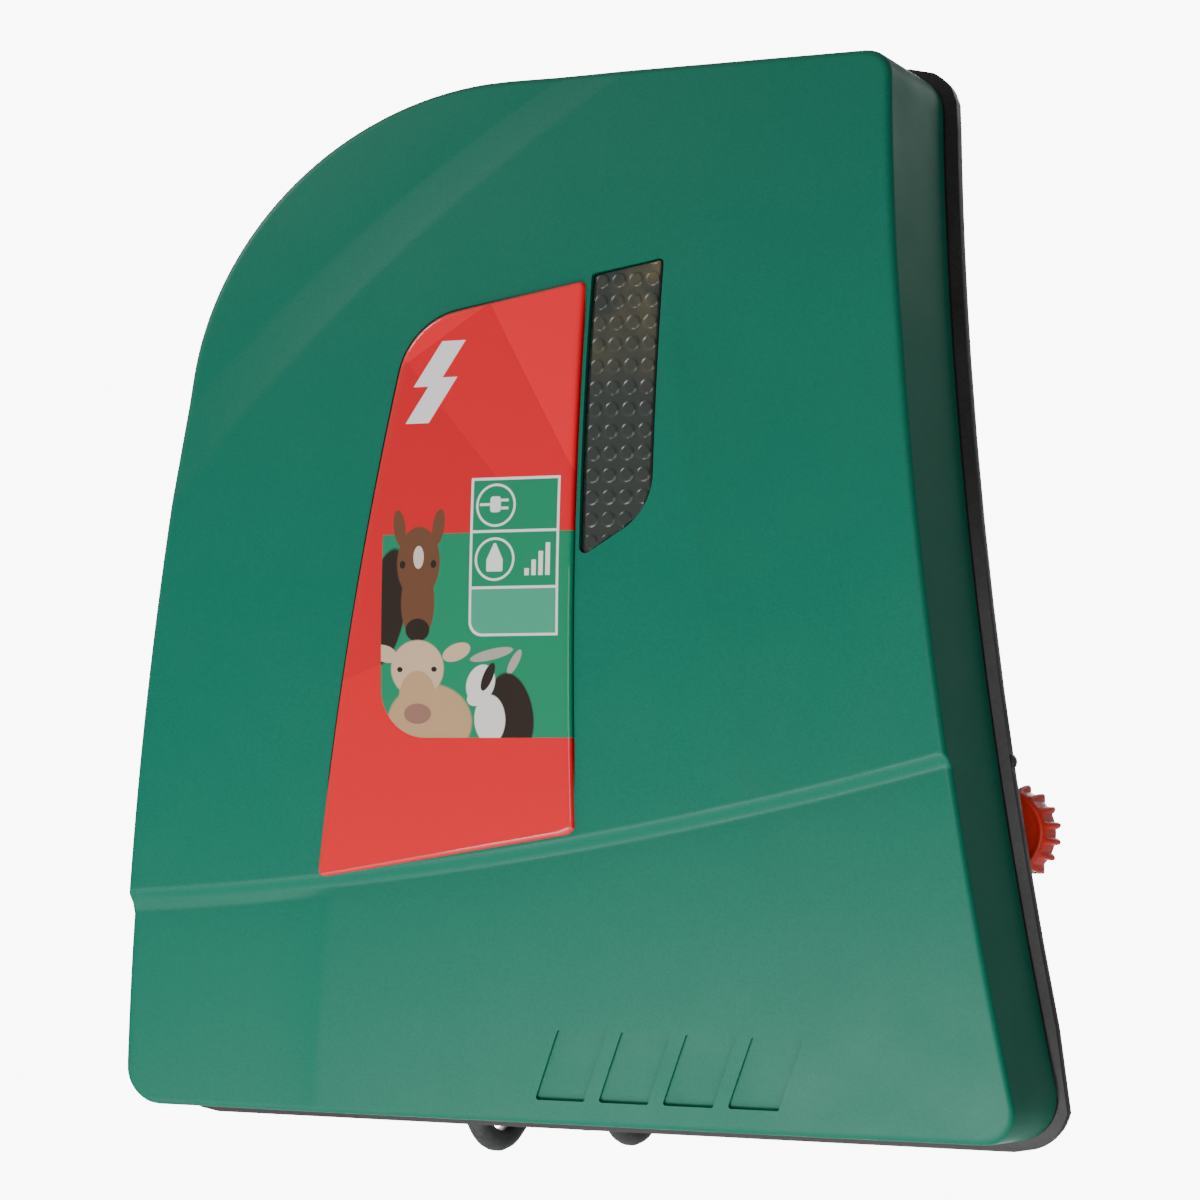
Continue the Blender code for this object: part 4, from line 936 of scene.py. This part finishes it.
def emblem_cutters():
    cutters = []
    for number in range(EMBLEM_COUNT):
        left = EMBLEM_LEFT + number * EMBLEM_PITCH
        right = left + EMBLEM_WIDE
        cutter = prism_cutter(
            f"emblem_{number}",
            [
                (left, EMBLEM_LOW_Z, EMBLEM_ROUND),
                (right, EMBLEM_LOW_Z, EMBLEM_ROUND),
                (right + EMBLEM_LEAN, EMBLEM_HIGH_Z, EMBLEM_ROUND),
                (left + EMBLEM_LEAN, EMBLEM_HIGH_Z, EMBLEM_ROUND),
            ],
            lambda x, z: FACE + sag(z) + relief(x, z) - CUTTER_AHEAD,
            lambda x, z: FACE + sag(z) + relief(x, z) + EMBLEM_DEEP,
        )
        cutters.append(cutter)
    return cutters


# Label and window -----------------------------------------------------------------------------------


def outline_rows(corners, inset, rows):
    """Rows of a small outline drawn in by inset, finer at its ends."""
    outline = rounded(grown(corners, -inset))
    low = min(point.y for point in outline)
    tall = max(point.y for point in outline) - low
    table = []
    for row in range(rows + 1):
        share = (1 - math.cos(math.pi * row / rows)) / 2
        z = low + tall * min(max(share, 1e-5), 1 - 1e-5)
        table.append((z, *crossings(outline, z)))
    return table


def crowned(name, corners, front, thick, edge_round, look, bulge, rows=90, columns=40):
    """A plate with a rounded front edge, bulge(x, z) raising its face."""
    shape = bmesh.new()
    face = row_grid(
        shape,
        outline_rows(corners, edge_round, rows),
        columns,
        lambda x, z: front + sag(z) - bulge(x, z),
    )
    filled(shape, face)
    rings = [grid_rim(face)]
    for angle in (30, 60, 90):
        inset = edge_round * (1 - math.sin(math.radians(angle)))
        deep = edge_round * (1 - math.cos(math.radians(angle)))
        rings.append(plate_ring(shape, outline_rows(corners, inset, rows), columns, front + deep))
    back = row_grid(shape, outline_rows(corners, 0, rows), columns, lambda x, z: front + sag(z) + thick)
    rings.append(grid_rim(back))
    filled(shape, back)
    for ring, other in zip(rings, rings[1:]):
        joined(shape, ring, other)
    return add_piece(name, shape, look)


def plate_ring(shape, table, columns, front):
    grid = row_grid(shape, table, columns, lambda x, z: front + sag(z))
    rim = grid_rim(grid)
    kept = set(rim)
    for row in grid:
        for point in row:
            if point not in kept:
                shape.verts.remove(point)
    return rim


def make_label(look):
    front = FACE + LABEL_RECESS - GAP - LABEL_THICK
    corners = grown(LABEL_OUTLINE, -LABEL_ROOM)
    label = crowned("label_plate_print", corners, front, LABEL_THICK, LABEL_ROUND, look, lambda x, z: 0.0)
    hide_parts("label_dome", "label_plate")


def lens_rise(x, z):
    """Four columns of low flat-topped buttons across the window."""
    column = min(3, max(0, round((x - LENS_LEFT_X) / LENS_PITCH_X)))
    button_x = LENS_LEFT_X + column * LENS_PITCH_X
    button_z = round(z / LENS_PITCH_Z) * LENS_PITCH_Z
    far = math.hypot(x - button_x, z - button_z)
    return LENS_RISE * ease((LENS_RADIUS - far) / LENS_EDGE)


def make_window(look):
    window = crowned(
        "window_lenses",
        WINDOW_OUTLINE,
        FACE + WINDOW_SINK + LENS_RISE,
        WINDOW_THICK - LENS_RISE,
        0.3 * MM,
        look,
        lens_rise,
        300,
        80,
    )
    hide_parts("display_window")


# Knobs ----------------------------------------------------------------------------------------------


def make_knob(name, x, look, body):
    """A ribbed knob: a smooth dished face in front, and ribs that stand out further toward its foot."""
    shape = bmesh.new()
    count = KNOB_RIBS * PER_RIB
    sections = [
        (KNOB_LONG - 0.5 * MM, KNOB_FACE - 2.4 * MM, 0),
        (KNOB_LONG - 0.42 * MM, KNOB_FACE - 1.9 * MM, 0),
        (KNOB_LONG - 0.1 * MM, KNOB_FACE - 1.3 * MM, 0),
        (KNOB_LONG, KNOB_FACE - 0.9 * MM, 0),
        (KNOB_LONG - 0.25 * MM, KNOB_FACE - 0.3 * MM, 0),
        (KNOB_LONG - 0.9 * MM, KNOB_FACE, 0.08),
        (KNOB_LONG - 2.0 * MM, KNOB_BODY - 0.3 * MM, 0.3),
        (KNOB_LONG - 3.6 * MM, KNOB_BODY - 0.1 * MM, 0.55),
        (KNOB_LONG - 5.6 * MM, KNOB_BODY, 0.8),
        (1.0 * MM, KNOB_BODY, 0.98),
        (0.3 * MM, KNOB_BODY, 0.9),
        (0, KNOB_BODY - 0.4 * MM, 0.6),
    ]
    rings = []
    for height, body_radius, share in sections:
        ring = []
        for step in range(count):
            phase = (step % PER_RIB) / PER_RIB
            crest = max(0, math.cos(2 * math.pi * (phase - 0.5))) ** 0.7
            radius = body_radius + (KNOB_TIP - KNOB_BODY) * share * crest
            angle = 2 * math.pi * step / count
            place = (x + radius * math.cos(angle), KNOB_FOOT_Y - height, STUD_Z + radius * math.sin(angle))
            ring.append(shape.verts.new(place))
        rings.append(ring)
    for ring, other in zip(rings, rings[1:]):
        joined(shape, ring, other)
    shape.faces.new(rings[0])
    foot_hole = []
    for step in range(count):
        angle = 2 * math.pi * step / count
        across = KNOB_BORE_RADIUS * math.cos(angle)
        up = KNOB_BORE_RADIUS * math.sin(angle)
        foot_hole.append(shape.verts.new((x + across, KNOB_FOOT_Y, STUD_Z + up)))
    joined(shape, rings[-1], foot_hole)
    deep = [shape.verts.new((point.co.x, KNOB_FOOT_Y - KNOB_BORE, point.co.z)) for point in foot_hole]
    joined(shape, foot_hole, deep)
    shape.faces.new(deep)
    knob = add_piece(name + "_cap", shape, look, body, 50)
    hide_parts(name)


# Mains lead -----------------------------------------------------------------------------------------


def lead_route():
    """Points along the lead: from the gland, round the hank's folds, to the plug."""
    front = HANK_Y - FOLD_RADIUS
    back = HANK_Y + FOLD_RADIUS
    route = [(GLAND_X, HANK_Y, GLAND_END_Z - step * 9 * MM) for step in range(6)]
    route += [
        (GLAND_X, HANK_Y - 1.2 * MM, -98 * MM),
        (GLAND_X, HANK_Y - 5 * MM, -108 * MM),
        (GLAND_X, HANK_Y - 10.5 * MM, -119 * MM),
        (GLAND_X, front + 2.2 * MM, -130 * MM),
    ]
    for turn, (foot_x, rise) in enumerate(zip(FOOT_XS, FOOT_RISES)):
        top_x = TOP_XS[turn] * MM
        next_x = TOP_XS[turn + 1] * MM
        foot_x = foot_x * MM
        low = FOOT_FOLD_Z + rise * MM
        for share in (0.35, 0.6, 0.85):
            z = TOP_FOLD_Z + (low - TOP_FOLD_Z) * share
            route.append((top_x + (foot_x - top_x) * ease(share), front, z))
        for angle in range(0, 181, 20):
            spin = math.radians(angle)
            route.append((foot_x, HANK_Y - FOLD_RADIUS * math.cos(spin), low - FOLD_RADIUS * math.sin(spin)))
        if turn == len(FOOT_XS) - 1:
            break
        for share in (0.15, 0.4, 0.65, 0.88):
            z = low + (TOP_FOLD_Z - low) * share
            route.append((foot_x + (next_x - foot_x) * ease(share), back, z))
        for angle in range(0, 181, 20):
            spin = math.radians(angle)
            y = HANK_Y + FOLD_RADIUS * math.cos(spin)
            route.append((next_x, y, TOP_FOLD_Z + FOLD_RADIUS * math.sin(spin)))
    last_x = FOOT_XS[-1] * MM
    route += [
        (last_x, back, -182 * MM),
        (last_x, back, -164 * MM),
        (PLUG_X, back, -146 * MM),
        (PLUG_X, back - 2.2 * MM, -130 * MM),
        (PLUG_X, HANK_Y + 10.5 * MM, -119 * MM),
        (PLUG_X, HANK_Y + 5 * MM, -108 * MM),
        (PLUG_X, HANK_Y + 1.2 * MM, -98 * MM),
        (PLUG_X, HANK_Y, -88 * MM),
        (PLUG_X, HANK_Y, -79 * MM),
        (PLUG_X, HANK_Y, PLUG_END_Z),
    ]
    return route


def make_lead(look):
    curve = bpy.data.curves.new("lead", "CURVE")
    curve.dimensions = "3D"
    curve.bevel_depth = LEAD_RADIUS
    curve.bevel_resolution = 5
    curve.use_fill_caps = True
    curve.resolution_u = 4
    route = lead_route()
    spline = curve.splines.new("BEZIER")
    spline.bezier_points.add(len(route) - 1)
    for point, here in zip(spline.bezier_points, route):
        point.co = here
        point.handle_left_type = "AUTO"
        point.handle_right_type = "AUTO"
    curve.materials.append(look)
    lead = bpy.data.objects.new("mains_cord", curve)
    bpy.context.scene.collection.objects.link(lead)
    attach(lead, "case")
    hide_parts("mains_lead", "mains_hank", "plug_lead")


# The CAD's own nodes --------------------------------------------------------------------------------


def dress_nodes(looks):
    """Each kept node gets its slot's material, soft edges and smooth shading."""
    slots = {entry["node"]: entry["material_slot"] for entry in frame["record"]["subparts"]}
    soft = {"rear_flange": 0.7, "rear_tub": 0.8, "cord_tie": 0.4, "mains_plug": 0.5}
    for name, node in frame["nodes"].items():
        if node.hide_render:
            continue
        node.data.materials.clear()
        node.data.materials.append(looks[slots[name]])
        node.data.shade_smooth()
        node.data.set_sharp_from_angle(angle=math.radians(30))
        weld = node.modifiers.new("weld", "WELD")
        weld.merge_threshold = 0.01 * MM
        bevel = node.modifiers.new("soft_edges", "BEVEL")
        bevel.width = soft.get(name, 0.25) * MM
        bevel.segments = 2
        bevel.limit_method = "ANGLE"
        bevel.angle_limit = math.radians(35)
        bevel.harden_normals = True
        bevel.use_clamp_overlap = True


make_camera()
make_studio()
LOOKS = make_looks()
make_lead(LOOKS["lead_pvc"])
make_cover(LOOKS["cover_green"])
make_label(LOOKS["label_print"])
make_window(LOOKS["window_smoke"])
make_knob("fence_knob", STUD_X, LOOKS["knob_red"], "fence_turn")
make_knob("ground_knob", -STUD_X, LOOKS["knob_green"], "ground_turn")
dress_nodes(LOOKS)
